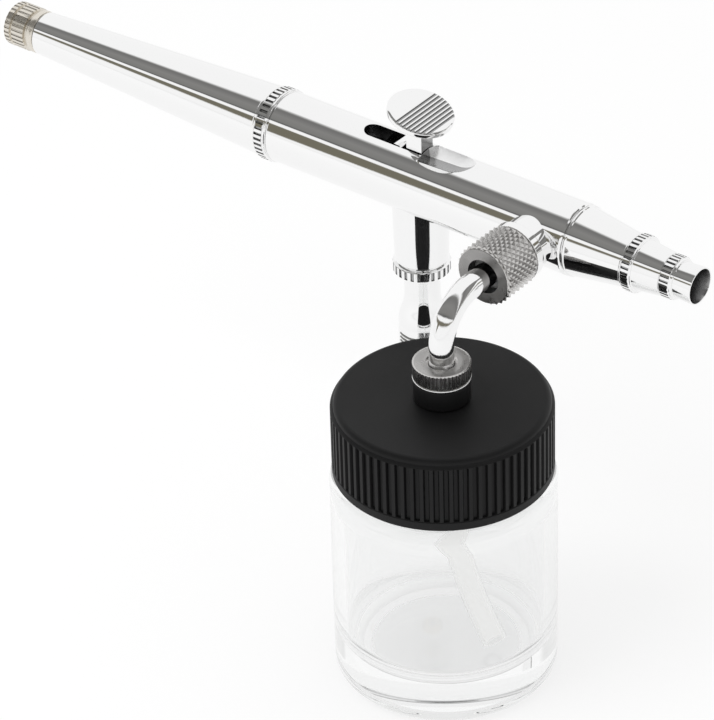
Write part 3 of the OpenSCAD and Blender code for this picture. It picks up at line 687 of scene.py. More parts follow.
def nickel():
    """Warm nickel plate of the preset knob."""
    return metal("warm_nickel", colours().nickel, smooth=0.2, dull=0.34)


def painted_shade_nickel():
    """Warm nickel plate darkened to 0.75 as painted shade in the gaps of the knob's knurl."""
    return metal("nickel_in_gaps", darker(colours().nickel, 0.75), smooth=0.3, dull=0.45)


def painted_shade_satin():
    """Satin metal darkened to half as painted shade in the gaps of a knurl."""
    tint = darker(colours().satin, 0.5)
    return metal("satin_in_gaps", tint, smooth=0.25, dull=0.4, scale=900.0, bump=0.06)


def satin_steel():
    """Satin knurled metal."""
    return metal("satin_steel", colours().satin, smooth=0.16, dull=0.3, scale=900.0, bump=0.06)


def faced_steel_painted_shade(axis, share):
    """Satin metal with the turning marks of a faced end, darkened to a share as painted shade on that end.
    """
    tint = darker(colours().satin, share)
    name = "turned_steel_" + axis.lower()
    return metal(name, tint, smooth=0.25, dull=0.4, scale=900.0, bump=0.05, axis=axis)


def black_plastic():
    """Black moulded plastic."""
    return plastic("black_moulding", colours().black, smooth=0.42, dull=0.6, sheen=0.24)


def clear_glass():
    """Clear glass of the jar."""
    return clear("clear_glass", colours().glass, roughness=0.0, ior=1.5, caught=5.5, shade=0.74)


def clear_tube():
    """Soft clear plastic of the pick-up tube."""
    return clear("clear_tube", colours().tube, roughness=0.06, ior=1.4, caught=11.5, shade=0.95)


# Pieces

class AIRBRUSH_OT_barrel(bpy.types.Operator):
    """Build the barrel with its trigger slot, finger scoop, valve boss and feed port"""

    bl_idname = "airbrush.barrel"
    bl_label = "Barrel"

    def execute(self, context):
        back, front, edge = HANDLE_FRONT, BODY_FRONT, 0.3
        packing_r, packing_x = 2.4, 15.5
        barrel = turned("barrel", [
            (CHAMBER_R, TAIL_X), (TAIL_R, TAIL_X), (TAIL_R, back), (BODY_R - edge, back),
            (BODY_R, back + edge), (BODY_R, front - edge), (BODY_R - edge, front), (SOCKET_R, front),
            (SOCKET_R, SOCKET_X), (FLUID_R, SOCKET_X), (FLUID_R, packing_x), (packing_r, packing_x),
            (packing_r, CHAMBER_X), (CHAMBER_R, CHAMBER_X), (CHAMBER_R, TAIL_X)])
        seat(barrel, BARREL)
        # The chamber wall inside takes the second material, darkened bore metal as painted shade.
        shade_where(barrel, 1, lambda place: off_axis(place) < CHAMBER_R + 0.1)
        combine(barrel, self.boss(), "UNION")
        combine(barrel, self.collar(), "UNION")
        combine(barrel, self.scoop_cutter(), "DIFFERENCE")
        # The walls of the relief, the slot and the bores take the same painted shade.
        for cutter in (self.relief_cutter(), self.slot_cutter(), *self.bore_cutters()):
            shade_inside(cutter)
            combine(barrel, cutter, "DIFFERENCE")
        # The near wall of the scoop takes darkened chrome as painted shade; the far wall takes only a
        # rougher chrome.
        shade_where(barrel, 2, lambda place: self.in_scoop(place) and place.y < 0.5)
        shade_where(barrel, 3, lambda place: self.in_scoop(place) and place.y >= 0.5)
        finish_piece(barrel, chrome(), "chrome", "gun", "main_body", angle=9,
                     more=(bored_metal(), painted_shade_chrome(), worn_chrome()))
        return {"FINISHED"}

    def boss(self):
        """Tapered stub under the barrel that takes the air valve."""
        end_r, root_r, root = 4.45, 4.75, GUN_Z - 3
        boss = turned("boss", [(0, VALVE_TOP), (end_r, VALVE_TOP), (root_r, root), (0, root)])
        seat(boss, VALVE)
        return boss

    def collar(self):
        """Rimmed stub at the side that takes the clamp nut."""
        root, rim, rim_end, end = 3, 7.8, 9.3, 14.15
        neck_r, rim_r, thread_r, fillet = 4.3, 4.9, 4.0, 0.2
        collar = turned("collar", [
            (0, root), (neck_r, root), (neck_r, rim - fillet), (neck_r + fillet, rim), (rim_r, rim),
            (rim_r, rim_end), (thread_r, rim_end), (thread_r, end), (0, end)])
        seat(collar, PORT)
        return collar

    def slot_cutter(self):
        """Upright prism with a round back that opens the trigger slot."""
        back, front = -10.7, 1.6
        cutter = block(((back + front) / 2, 0, GUN_Z + BODY_R), (front - back, SLOT_W, 2 * BODY_R))
        edit(cutter)
        bpy.ops.mesh.select_mode(type="EDGE")
        bpy.ops.mesh.select_all(action="DESELECT")
        mesh = bmesh.from_edit_mesh(cutter.data)
        for edge in mesh.edges:
            upright = edge.verts[0].co - edge.verts[1].co
            edge.select_set(abs(upright.z) > MM and edge.verts[0].co.x < 0)
        bmesh.update_edit_mesh(cutter.data)
        nearly_half = 0.999 * SLOT_W / 2
        bpy.ops.mesh.bevel(offset=nearly_half * MM, segments=16, affect="EDGES")
        deselect()
        return cutter

    def relief_cutter(self):
        """Block that gives the lever behind the trigger room to swing."""
        length, low, high = 4.8, GUN_Z - BODY_R + 0.7, GUN_Z + 1
        return block((-length / 2, 0, (low + high) / 2), (length, SLOT_W - 0.3, high - low))

    def bore_cutters(self):
        """Turned bars that clear the chamber under the slot, the valve boss and the feed port."""
        chamber = rod("chamber_bore", BARREL, CHAMBER_R - 0.01, -7, CHAMBER_X - 0.1)
        low, foot, high = VALVE_TOP - 1, span("valve_plunger", Z)[1] - 2, GUN_Z - 0.5
        bore_r, foot_r = 3.0, 3.6
        valve = turned("valve_bore", [
            (0, low), (bore_r, low), (bore_r, foot), (foot_r, foot), (foot_r, high), (0, high)], edge=0)
        seat(valve, VALVE)
        start, tube_seat, end, inner_r = 0.6, 7.2, 15.0, 1.2
        port = turned("port_bore", [
            (0, start), (inner_r, start), (inner_r, tube_seat), (TUBE_HOLE_R, tube_seat),
            (TUBE_HOLE_R, end), (0, end)], edge=0)
        seat(port, PORT)
        return chamber, valve, port

    def in_scoop(self, place):
        """Whether a place lies on the wall of the finger scoop."""
        back, front, low = 1.45, 11, GUN_Z + 3
        return off_axis(place) < BODY_R - 0.03 and back < place.x < front and place.z > low

    def scoop_cutter(self):
        """Round-nosed bar that dips into the barrel's top in front of the trigger."""
        radius, rim, front, slope, back = 5.2, 3.75, 10.6, math.radians(2), 1.5
        nose = front - math.sqrt(radius ** 2 - rim ** 2)
        tail = back - nose
        cutter = turned("scoop", [(0, tail), (radius, tail)] + arc(0, 0, radius, 0, 90, 20), edge=0)
        seat(cutter, (Vector((nose, 0, GUN_Z + BODY_R + rim)), (0, math.pi / 2 - slope, 0)))
        return cutter


class AIRBRUSH_OT_nose(bpy.types.Operator):
    """Build the spray head, the nozzle cap and the needle cap"""

    bl_idname = "airbrush.nose"
    bl_label = "Nose"

    def execute(self, context):
        sizes = context.scene.airbrush_sizes
        self.build_head()
        self.build_nozzle_cap(sizes.nozzle_teeth)
        self.build_needle_cap(sizes.needle_teeth)
        return {"FINISHED"}

    def build_head(self):
        """The tapered spray head with the spigot that fills the barrel's socket."""
        tail_x, head_x = SOCKET_X + 0.4, BODY_FRONT + 0.02
        tail_r, groove_r, rim_r, taper_r, end_r = SOCKET_R - 0.02, 5.3, 5.9, 5.7, 4.4
        rim, edge = head_x + 0.2, 0.15
        head = turned("spray_head_shell", [
            (FLUID_R, tail_x), (tail_r, tail_x), (tail_r, head_x), (groove_r, head_x), (groove_r, rim),
            (rim_r - edge, rim), (rim_r, rim + edge), (rim_r, rim + 0.35), (taper_r, rim + 0.5),
            (end_r, NOZZLE_X), (FLUID_R, NOZZLE_X), (FLUID_R, tail_x)], edge=RING_EDGE)
        seat(head, BARREL)
        finish_piece(head, chrome(), "chrome", "gun", "spray_head")

    def build_nozzle_cap(self, teeth):
        """The larger cap, which is knurled behind its taper."""
        x, ring = NOZZLE_X, NOZZLE_X + 2.2
        hole_r, rim_r, ring_r, root_r, taper_r, end_r = 0.75, 4.65, 4.7, 4.35, 4.1, 3.55
        low, high = x + 0.55, ring - 0.25
        cap = turned("nozzle_cap_shell", [
            (hole_r, x), (rim_r - 0.2, x), (rim_r, x + 0.2), (rim_r, x + 0.42), (root_r, x + 0.45)]
            + band(ring_r, low, high) + [
            (root_r, high + 0.1), (root_r, ring), (taper_r, ring), (end_r, NEEDLE_CAP_X),
            (hole_r, NEEDLE_CAP_X), (hole_r, x)], steps=teeth * TOOTH_STEPS, edge=RING_EDGE)
        # The knurl's gaps take darkened chrome as painted shade.
        knurl(cap, teeth, low, high, ring_r, depth=0.3)
        seat(cap, BARREL)
        finish_piece(cap, chrome(), "chrome", "gun", "nozzle_cap", more=(painted_shade_chrome(),))

    def build_needle_cap(self, teeth):
        """The smaller cap, which is knurled behind its flared mouth."""
        x, floor = NEEDLE_CAP_X, NEEDLE_CAP_X + 1.4
        ring = x + 1.8
        lip = ring + 0.5
        hole_r, ring_r, root_r, neck_r, cup_r = 1.5, 3.55, 3.35, 2.95, 2.45
        mouth_r, mouth_in = 3.1, 2.85
        low = x + 0.2
        cap = turned("needle_cap_shell", [(hole_r, x), (root_r, x)] + band(ring_r, low, ring) + [
            (root_r, ring + 0.1), (root_r, ring + 0.25), (root_r - 0.1, lip), (neck_r, lip),
            (mouth_r, MOUTH_X), (mouth_in, MOUTH_X), (cup_r, lip), (cup_r, floor), (hole_r, floor),
            (hole_r, x)], steps=teeth * TOOTH_STEPS, edge=RING_EDGE)
        # The knurl's gaps take darkened chrome as painted shade.
        knurl(cap, teeth, low, ring, ring_r, depth=0.25)
        seat(cap, BARREL)
        # The inside of the mouth takes darkened chrome as painted shade.
        shade_where(cap, 1, lambda place: place.x < MOUTH_X - 0.05 and off_axis(place) < mouth_in - 0.05)
        finish_piece(cap, chrome(), "chrome", "gun", "needle_cap", more=(painted_shade_chrome(),))


class AIRBRUSH_OT_handle(bpy.types.Operator):
    """Build the tapered handle with its knurled ring"""

    bl_idname = "airbrush.handle"
    bl_label = "Handle"

    def execute(self, context):
        sizes = context.scene.airbrush_sizes
        ring_r, end_r, bore_r, depth, edge = half_width("handle", Y), 3.75, 3.4, 0.35, 0.25
        rim_r, root_r = ring_r - 0.05, ring_r - depth
        back, front = HANDLE_BACK, HANDLE_FRONT
        taper = front - 2.6
        low, high = taper + 0.55, front - 0.53
        stop = span("preset_screw", X)[1] - 0.3
        socket = span("spring_housing", X)[0] - 0.6
        handle = turned("handle_shell", [
            (PRESET_R, back), (end_r - edge, back), (end_r, back + edge), (BODY_R, taper - 0.2),
            (rim_r, taper), (rim_r, taper + 0.4), (root_r, taper + 0.42), (root_r, taper + 0.5)]
            + band(ring_r, low, high, edge=0.07) + [
            (root_r, front - 0.48), (root_r, front - 0.42), (rim_r, front - 0.4), (rim_r, front - 0.1),
            (rim_r - 0.15, front), (TAIL_R, front), (TAIL_R, socket), (bore_r, socket), (bore_r, stop),
            (PRESET_R, stop), (PRESET_R, back)], steps=sizes.ring_teeth * TOOTH_STEPS, edge=RING_EDGE)
        # The knurl's gaps take darkened chrome as painted shade.
        knurl(handle, sizes.ring_teeth, low, high, ring_r, depth)
        seat(handle, BARREL)
        finish_piece(handle, chrome(), "chrome", "gun", "handle", more=(painted_shade_chrome(),))
        return {"FINISHED"}


class AIRBRUSH_OT_knob(bpy.types.Operator):
    """Build the preset knob at the tail"""

    bl_idname = "airbrush.knob"
    bl_label = "Preset Knob"

    def execute(self, context):
        sizes = context.scene.airbrush_sizes
        back, front = span("preset_knob", X)
        r = half_width("preset_knob", Y)
        groove_r, neck_r, rim_r = r - 0.45, r - 0.5, r - 0.08
        bands = ((back + 0.35, back + 1.4), (back + 1.95, front - 1.9))
        groove, neck = bands[0][1], bands[1][1]
        rim, floor = front - 1.1, front - 4.6
        knob = turned("preset_knob_shell", [(0, back), (neck_r, back)] + band(r, *bands[0]) + [
            (groove_r, groove + 0.1), (groove_r, groove + 0.45)] + band(r, *bands[1]) + [
            (neck_r, neck + 0.1), (neck_r, rim), (rim_r, rim), (rim_r, front - 0.15), (rim_r - 0.17, front),
            (PRESET_R, front), (PRESET_R, floor), (0, floor)],
            steps=sizes.knob_teeth * TOOTH_STEPS, edge=RING_EDGE)
        # The knurls' gaps take darkened nickel as painted shade.
        for low, high in bands:
            knurl(knob, sizes.knob_teeth, low, high, r, depth=0.16)
        seat(knob, BARREL)
        finish_piece(knob, nickel(), "nickel", "preset_knob", "preset_knob", more=(painted_shade_nickel(),))
        return {"FINISHED"}


class AIRBRUSH_OT_trigger(bpy.types.Operator):
    """Build the trigger with its square stem and its tilted, half-grooved thumb button"""

    bl_idname = "airbrush.trigger"
    bl_label = "Trigger"

    def execute(self, context):
        radius, thick, tilt, rise, offset = 5.5, 1.3, math.radians(16), 12.8, 0.5
        hub_r, hub, edge, groove_x = 1.7, -2.3, 0.3, -0.93
        stem, stem_foot, stem_top = 3.0, GUN_Z - 3.2, GUN_Z + rise - thick
        pivot, waist_r, waist_top, foot_r = GUN_Z - 7.5, 1.2, GUN_Z - 2, 1.6
        button = turned("trigger_shell", [
            (0, hub), (hub_r, hub), (radius - 0.5, -thick), (radius, 0.35 - thick), (radius, -edge),
            (radius - edge, 0), (0, 0)])
        combine(button, self.dish_cutter(groove_x - 0.35), "DIFFERENCE")
        # The grooves take darkened chrome as painted shade.
        combine(button, self.groove_cutters(groove_x, 2 * radius + 2), "DIFFERENCE")
        seat(button, (Vector((offset, 0, GUN_Z + rise)), (0, tilt, 0)))
        bar = block((0, 0, (stem_top + stem_foot) / 2), (stem, stem, stem_top - stem_foot))
        # The stem's front face takes darkened chrome, a painted dark reflection of the scoop.
        for side in bar.data.polygons:
            side.material_index = int(side.normal.x > 0.5)
        combine(button, bar, "UNION")
        combine(button, rod("leg", VALVE, waist_r, pivot, waist_top), "UNION")
        across = (Vector((0, 0, pivot)), (math.pi / 2, 0, 0))
        combine(button, rod("foot", across, foot_r, -foot_r, foot_r, edge=None), "UNION")
        modify(button, "BEVEL", width=RING_EDGE, segments=2, limit_method="ANGLE",
               angle_limit=math.radians(40), use_clamp_overlap=True)
        finish_piece(button, chrome(), "chrome", "trigger", "trigger", more=(painted_shade_chrome(),))
        return {"FINISHED"}

    def groove_cutters(self, first, length):
        """A row of tapered bars, joined, for the grooves across the front half of the button."""
        count, pitch, width, depth, taper = 8, 0.72, 0.52, 0.22, 0.85
        bars = []
        for number in range(count):
            middle_x = first + number * pitch
            bar = block((middle_x, 0, 0), (width, length, 2 * depth))
            edit(bar)
            choose(bar, lambda place: place.z < 0)
            bpy.ops.transform.resize(value=(taper, 1, 1), center_override=(middle_x * MM, 0, 0))
            bars.append(bar)
        deselect()
        for bar in bars:
            bar.select_set(True)
        bpy.context.view_layer.objects.active = bars[0]
        bpy.ops.object.join()
        # The grooves this cuts take the darkened chrome as painted shade.
        shade_inside(bars[0])
        return bars[0]

    def dish_cutter(self, limit):
        """Cap of a large ball that hollows the button behind a place along X."""
        ball_r, drop, back = 18, 0.45, -0.75
        top = ball_r * (1 - math.cos(0.27))
        dish = turned("dish", [(0, 0)] + arc(0, ball_r, ball_r, -90, -74.5, 12) + [(0, top)], edge=0)
        seat(dish, (Vector((back, 0, -drop)), (0, 0, 0)))
        edit(dish)
        bpy.ops.mesh.select_all(action="SELECT")
        bpy.ops.mesh.bisect(
            plane_co=(limit * MM, 0, 0), plane_no=(1, 0, 0), clear_outer=True, use_fill=True,
            threshold=0.0001 * MM)
        deselect()
        return dish


class AIRBRUSH_OT_lever(bpy.types.Operator):
    """Build the lever that stands in the slot behind the trigger"""

    bl_idname = "airbrush.lever"
    bl_label = "Lever"

    def execute(self, context):
        half = half_width("aux_lever", Y)
        needle_gap = 2 * half_width("needle", Y) + 0.5
        foot, tip = Vector((-4.2, 0, GUN_Z - 1.9)), Vector((-3.5, 0, GUN_Z + 5.15))
        eye_r, tip_r, pin_r, thick = 1.05, 0.85, 0.55, 1.4
        fork = Vector((6, needle_gap, 7))
        lever = self.roller("aux_lever_shell", foot, eye_r, half)
        combine(lever, self.roller("tip", tip, tip_r, half), "UNION")
        lean = math.atan2(tip.x - foot.x, tip.z - foot.z)
        plate = block((foot + tip) / 2, (thick, 2 * half - 0.02, (tip - foot).length), lean)
        combine(lever, plate, "UNION")
        combine(lever, block(foot + Vector((0, 0, 0.5)), fork), "DIFFERENCE")
        combine(lever, self.roller("pin_hole", foot, pin_r, half + 1), "DIFFERENCE")
        finish_piece(lever, chrome(), "steel", "aux_lever", "aux_lever")
        return {"FINISHED"}

    def roller(self, name, place, radius, half):
        """A short round bar that lies across the gun."""
        across = (place, (math.pi / 2, 0, 0))
        return rod(name, across, radius, -half, half, steps=64, edge=0.03 * MM)


class AIRBRUSH_OT_valve(bpy.types.Operator):
    """Build the air valve's body with its ring, neck and hose thread"""

    bl_idname = "airbrush.valve"
    bl_label = "Air Valve"

    def execute(self, context):
        sizes = context.scene.airbrush_sizes
        thread_r, thread_end, neck_r = 4.05, 7.0, 3.0
        root_r = thread_r - 0.35
        inlet_r, plunger_r, seat_z = 2.3, 1.25, 16.0
        ring, top = VALVE_TOP - 2.4, VALVE_TOP
        ring_r, groove_r = 4.75, 4.05
        low, high = ring + 0.25, top - 0.6
        thread = self.thread(root_r, thread_r, thread_end, sizes.thread_pitch / MM)
        valve = turned("valve_shell", [(inlet_r, 0), (root_r, 0)] + thread + [
            (root_r, thread_end - 0.5), (thread_r, thread_end - 0.3), (thread_r, thread_end)]
            + self.flare(thread_r, neck_r, thread_end, thread_end + 5) + [
            (neck_r, ring - 1.2), (neck_r + 0.4, ring - 0.4), (ring_r - 0.4, ring)]
            + band(ring_r, low, high) + [
            (ring_r - 0.2, high + 0.1), (groove_r, high + 0.2), (groove_r, top), (plunger_r, top),
            (plunger_r, seat_z), (inlet_r, seat_z), (inlet_r, 0)],
            steps=sizes.valve_teeth * TOOTH_STEPS, edge=RING_EDGE)
        # The knurl's gaps take darkened chrome as painted shade.
        knurl(valve, sizes.valve_teeth, low, high, ring_r, depth=0.22)
        finish_piece(valve, chrome(), "chrome", "gun", "valve_body", more=(painted_shade_chrome(),))
        return {"FINISHED"}

    def thread(self, root_r, crest_r, end, pitch):
        """Points of the hose thread's rings, up from the inlet's end."""
        first, plain, rise, crest = 0.3, 1.0, 0.35, 0.6
        points = []
        for number in range(int((end - plain) / pitch)):
            base = first + number * pitch
            points += [(root_r, base), (crest_r, base + rise * pitch), (crest_r, base + crest * pitch)]
        return points

    def flare(self, wide_r, narrow_r, low, high, steps=12):
        """Points of the smooth curve from the thread in to the neck."""
        points = []
        for number in range(1, steps + 1):
            share = number / steps
            wide = (1 + math.cos(math.pi * share)) / 2
            points.append((narrow_r + (wide_r - narrow_r) * wide, low + (high - low) * share))
        return points


class AIRBRUSH_OT_clamp_nut(bpy.types.Operator):
    """Build the diamond-knurled clamp nut of the feed port"""

    bl_idname = "airbrush.clamp_nut"
    bl_label = "Clamp Nut"

    def execute(self, context):
        sizes = context.scene.airbrush_sizes
        low, high = -span("clamp_nut", Y)[1], -span("clamp_nut", Y)[0]
        radius, depth, edge = half_width("clamp_nut", X), 0.34, 0.5
        thread_r, hole_r, wall, end_r = 4.05, 2.9, 1.9, radius - depth - 0.05
        rows, columns = sizes.nut_rows, sizes.nut_columns
        step = (high - low - 2 * edge) / rows
        points = [(radius, low + edge + step * number) for number in range(rows + 1)]
        nut = spun("clamp_nut_shell", [
            (thread_r, low), (end_r - 0.15, low), (end_r, low + 0.1), (end_r, low + edge - 0.1)]
            + points + [
            (end_r, high - edge + 0.1), (end_r, high - 0.08), (end_r - 0.08, high), (hole_r, high),
            (hole_r, high - wall), (thread_r, high - wall), (thread_r, low)], columns)

        def sunk(place):
            column = round(math.atan2(place.y, place.x) / FULL_TURN * columns)
            row = round((place.z - low - edge) / step)
            on_band = abs(math.hypot(place.x, place.y) - radius) < 0.02
            return on_band and (column + row) % 2 == 1

        choose(nut, sunk)
        sink(radius, depth)
        bpy.ops.mesh.select_all(action="SELECT")
        bpy.ops.mesh.quads_convert_to_tris(quad_method="SHORTEST_DIAGONAL", ngon_method="BEAUTY")
        seat(nut, PORT)
        # The outer face takes darkened faced steel as painted shade, and the hole darkened bore metal as
        # painted shade.
        shade_where(nut, 1, lambda place: place.y < 0.02 - high)
        shade_where(nut, 2, lambda place: math.hypot(place.x - JAR_X, place.z - GUN_Z) < hole_r + 0.1)
        finish_piece(nut, satin_steel(), "knurled_steel", "clamp_nut", "clamp_nut", angle=12,
                     more=(faced_steel_painted_shade("Y", share=0.58), bored_metal()))
        return {"FINISHED"}


class AIRBRUSH_OT_feed_tube(bpy.types.Operator):
    """Build the bent feed tube"""

    bl_idname = "airbrush.feed_tube"
    bl_label = "Feed Tube"

    def execute(self, context):
        start, bottom = span("feed_tube", Y)[1], span("feed_tube", Z)[0]
        bend_r, wall = 7.5, 0.9
        bend_y, bend_z = JAR_Y + bend_r, GUN_Z - bend_r
        tube = tube_ring("feed_tube_shell", (JAR_X, start, GUN_Z), (math.pi / 2, 0, 0), 96)
        draw_tube(0, bend_y - start, 0)
        bpy.ops.mesh.spin(
            steps=48, angle=math.pi / 2, axis=(-1, 0, 0), center=Vector((JAR_X, bend_y, bend_z)) * MM)
        draw_tube(0, 0, bottom - bend_z)
        wall_tube(tube, wall)
        finish_piece(tube, drawn_chrome(), "chrome", "jar_arm", "feed_tube")
        return {"FINISHED"}


class AIRBRUSH_OT_cap_fittings(bpy.types.Operator):
    """Build the small knurled nut, its washer and the black bush on the jar's cap"""

    bl_idname = "airbrush.cap_fittings"
    bl_label = "Cap Fittings"

    def execute(self, context):
        self.build_nut(context.scene.airbrush_sizes.cap_nut_teeth)
        self.build_washer()
        self.build_bush()
        return {"FINISHED"}

    def build_nut(self, teeth):
        """The small knurled nut with its countersunk hole."""
        low, high = span("cap_nut", Z)
        r, steps, edge = half_width("cap_nut", X), 6, 0.04 * MM
        knurl_low, knurl_high = low + 0.15, high - 0.08
        nut = turned("cap_nut_shell", [
            (TUBE_HOLE_R, low), (r - 0.2, low), (r, knurl_low), (r, low + 0.2), (r, high - 0.12),
            (r, knurl_high), (r - 0.26, high - 0.04), (r - 0.3, high), (TUBE_R + 0.5, high),
            (TUBE_HOLE_R, high - 0.35), (TUBE_HOLE_R, low)], steps=teeth * steps, edge=edge)
        # The knurl's gaps take darkened satin as painted shade.
        knurl(nut, teeth, knurl_low, knurl_high, r, depth=0.18)
        seat(nut, JAR)
        # The top face takes darkened faced steel as painted shade.
        shade_where(nut, 2, lambda place: place.z > high - 0.02)
        finish_piece(nut, satin_steel(), "knurled_steel", "jar_arm", "cap_nut",
                     more=(painted_shade_satin(), faced_steel_painted_shade("Z", share=0.8)))

    def build_washer(self):
        """The bright washer under the nut."""
        low, high = span("cap_washer", Z)
        r = half_width("cap_washer", X)
        washer = turned("cap_washer_shell", [
            (TUBE_HOLE_R, low), (r, low), (r, high), (TUBE_HOLE_R, high), (TUBE_HOLE_R, low)])
        seat(washer, JAR)
        finish_piece(washer, chrome(), "chrome", "jar_arm", "cap_washer")

    def build_bush(self):
        """The black bush, whose stem goes through the cap."""
        low, high = span("feed_bush", Z)
        r, flange = half_width("feed_bush", X), CAP_TOP + 0.02
        bush = turned("feed_bush_shell", [
            (TUBE_HOLE_R, low), (BUSH_STEM_R, low), (BUSH_STEM_R, flange), (r - 0.3, flange),
            (r, CAP_TOP + 0.3), (r, high - 0.2), (r - 0.2, high), (TUBE_HOLE_R, high), (TUBE_HOLE_R, low)])
        seat(bush, JAR)
        finish_piece(bush, black_plastic(), "black_plastic", "jar_arm", "feed_bush")


class AIRBRUSH_OT_jar_cap(bpy.types.Operator):
    """Build the ribbed cap of the jar"""

    bl_idname = "airbrush.jar_cap"
    bl_label = "Jar Cap"

    def execute(self, context):
        sizes = context.scene.airbrush_sizes
        r, bore_r, hole_r = half_width("jar_cap", X), 15.1, BUSH_STEM_R + 0.02
        low, high, ceiling = CAP_BOTTOM, CAP_TOP, CAP_TOP - 1.8
        rim, rib_low, rib_high, crown_r = low + 1.45, low + 1.72, high - 1.4, 0.95
        cap = spun("jar_cap_shell", [
            (bore_r, low), (r - 0.15, low), (r, low + 0.15), (r, rim), (r - 0.12, rim + 0.15), (r, rib_low),
            (r, rib_low + 0.08), (r, rib_high - 0.1), (r, rib_high), (r - 0.25, high - 1.05)]
            + arc(r - 1.4, high - crown_r, crown_r, 0, 90, 8) + [
            (hole_r, high), (hole_r, ceiling), (bore_r, ceiling), (bore_r, low)],
            sizes.cap_ribs * TOOTH_STEPS)
        knurl(cap, sizes.cap_ribs, rib_low, rib_high, r, depth=0.5, land=0.5, material=0)
        seat(cap, JAR)
        finish_piece(cap, black_plastic(), "black_plastic", "jar_arm", "jar_cap")
        return {"FINISHED"}


class AIRBRUSH_OT_jar(bpy.types.Operator):
    """Build the clear glass jar"""

    bl_idname = "airbrush.jar"
    bl_label = "Jar"

    def execute(self, context):
        r, wall = half_width("jar", X), 2.2
        hollow_r, foot_r, hollow = 11, 13.2, 0.6
        heel_r, shoulder_r, vault_r, floor_r, lip_r = 2.5, 1.6, 3, 5, 0.5
        neck_r, neck_in, fillet, steps = 14.8, 12.6, 0.3, 192
        shoulder, inner, lip = CAP_BOTTOM - 0.4, r - wall, JAR_TOP - lip_r
        jar = spun("jar_glass", [(0, JAR_BASE + hollow), (hollow_r, JAR_BASE + hollow)]
                   + arc(foot_r, JAR_BASE + hollow, hollow, 180, 270, 5)
                   + arc(r - heel_r, JAR_BASE + heel_r, heel_r, -90, 0, 12)
                   + arc(r - shoulder_r, shoulder - shoulder_r, shoulder_r, 0, 80, 8)
                   + [(neck_r + fillet, shoulder), (neck_r, shoulder + fillet)]
                   + arc(neck_r - lip_r, lip, lip_r, 0, 90, 4)
                   + arc(neck_in + lip_r, lip, lip_r, 90, 180, 4)
                   + [(neck_in, shoulder - 1)]
                   + arc(inner - vault_r, shoulder - wall - vault_r, vault_r, 70, 0, 8)
                   + arc(inner - floor_r, JAR_FLOOR + floor_r, floor_r, 0, -90, 16)
                   + [(0, JAR_FLOOR)], steps)
        seat(jar, JAR)
        finish_piece(jar, clear_glass(), "glass", "jar", "jar", angle=50)
        return {"FINISHED"}


class AIRBRUSH_OT_dip_tube(bpy.types.Operator):
    """Build the soft pick-up tube inside the jar"""

    bl_idname = "airbrush.dip_tube"
    bl_label = "Dip Tube"

    def execute(self, context):
        top = span("dip_tube", Z)[1]
        lean, straight, wall, floor_gap = math.radians(32), 4.0, 0.55, 1.4
        bend_z = top - straight
        curve_r = (bend_z - JAR_FLOOR - floor_gap) / math.sin(lean) - TUBE_R
        tube = tube_ring("dip_tube_shell", (JAR_X, JAR_Y, top), (0, 0, 0), 64)
        draw_tube(0, 0, -straight)
        bpy.ops.mesh.spin(
            steps=40, angle=lean, axis=(0, 1, 0), center=Vector((JAR_X + curve_r, JAR_Y, bend_z)) * MM)
        wall_tube(tube, wall)
        finish_piece(tube, clear_tube(), "clear_plastic", "jar_arm", "dip_tube")
        return {"FINISHED"}


class AIRBRUSH_OT_inner_parts(bpy.types.Operator):
    """Give the pieces inside the gun and under the cap their finishes"""

    bl_idname = "airbrush.inner_parts"
    bl_label = "Inner Parts"

    def execute(self, context):
        tints = colours()
        finishes = {
            "steel": metal("ground_steel", tints.steel, smooth=0.1, dull=0.22, scale=1500.0, bump=0.05),
            "brass": metal("turned_brass", tints.brass, smooth=0.14, dull=0.28, scale=900.0, bump=0.04),
            "ptfe": plastic("white_seal", tints.seal, smooth=0.4, dull=0.55, bump=0.1),
            "rubber": plastic("black_rubber", tints.rubber, smooth=0.55, dull=0.75, bump=0.2),
            "black_plastic": black_plastic(),
        }
        slots = {part["node"]: part["material_slot"] for part in frame["record"]["subparts"]}
        for name, node in frame["nodes"].items():
            if not node.hide_render:
                node.data.materials.clear()
                node.data.materials.append(finishes[slots[name]])
        return {"FINISHED"}


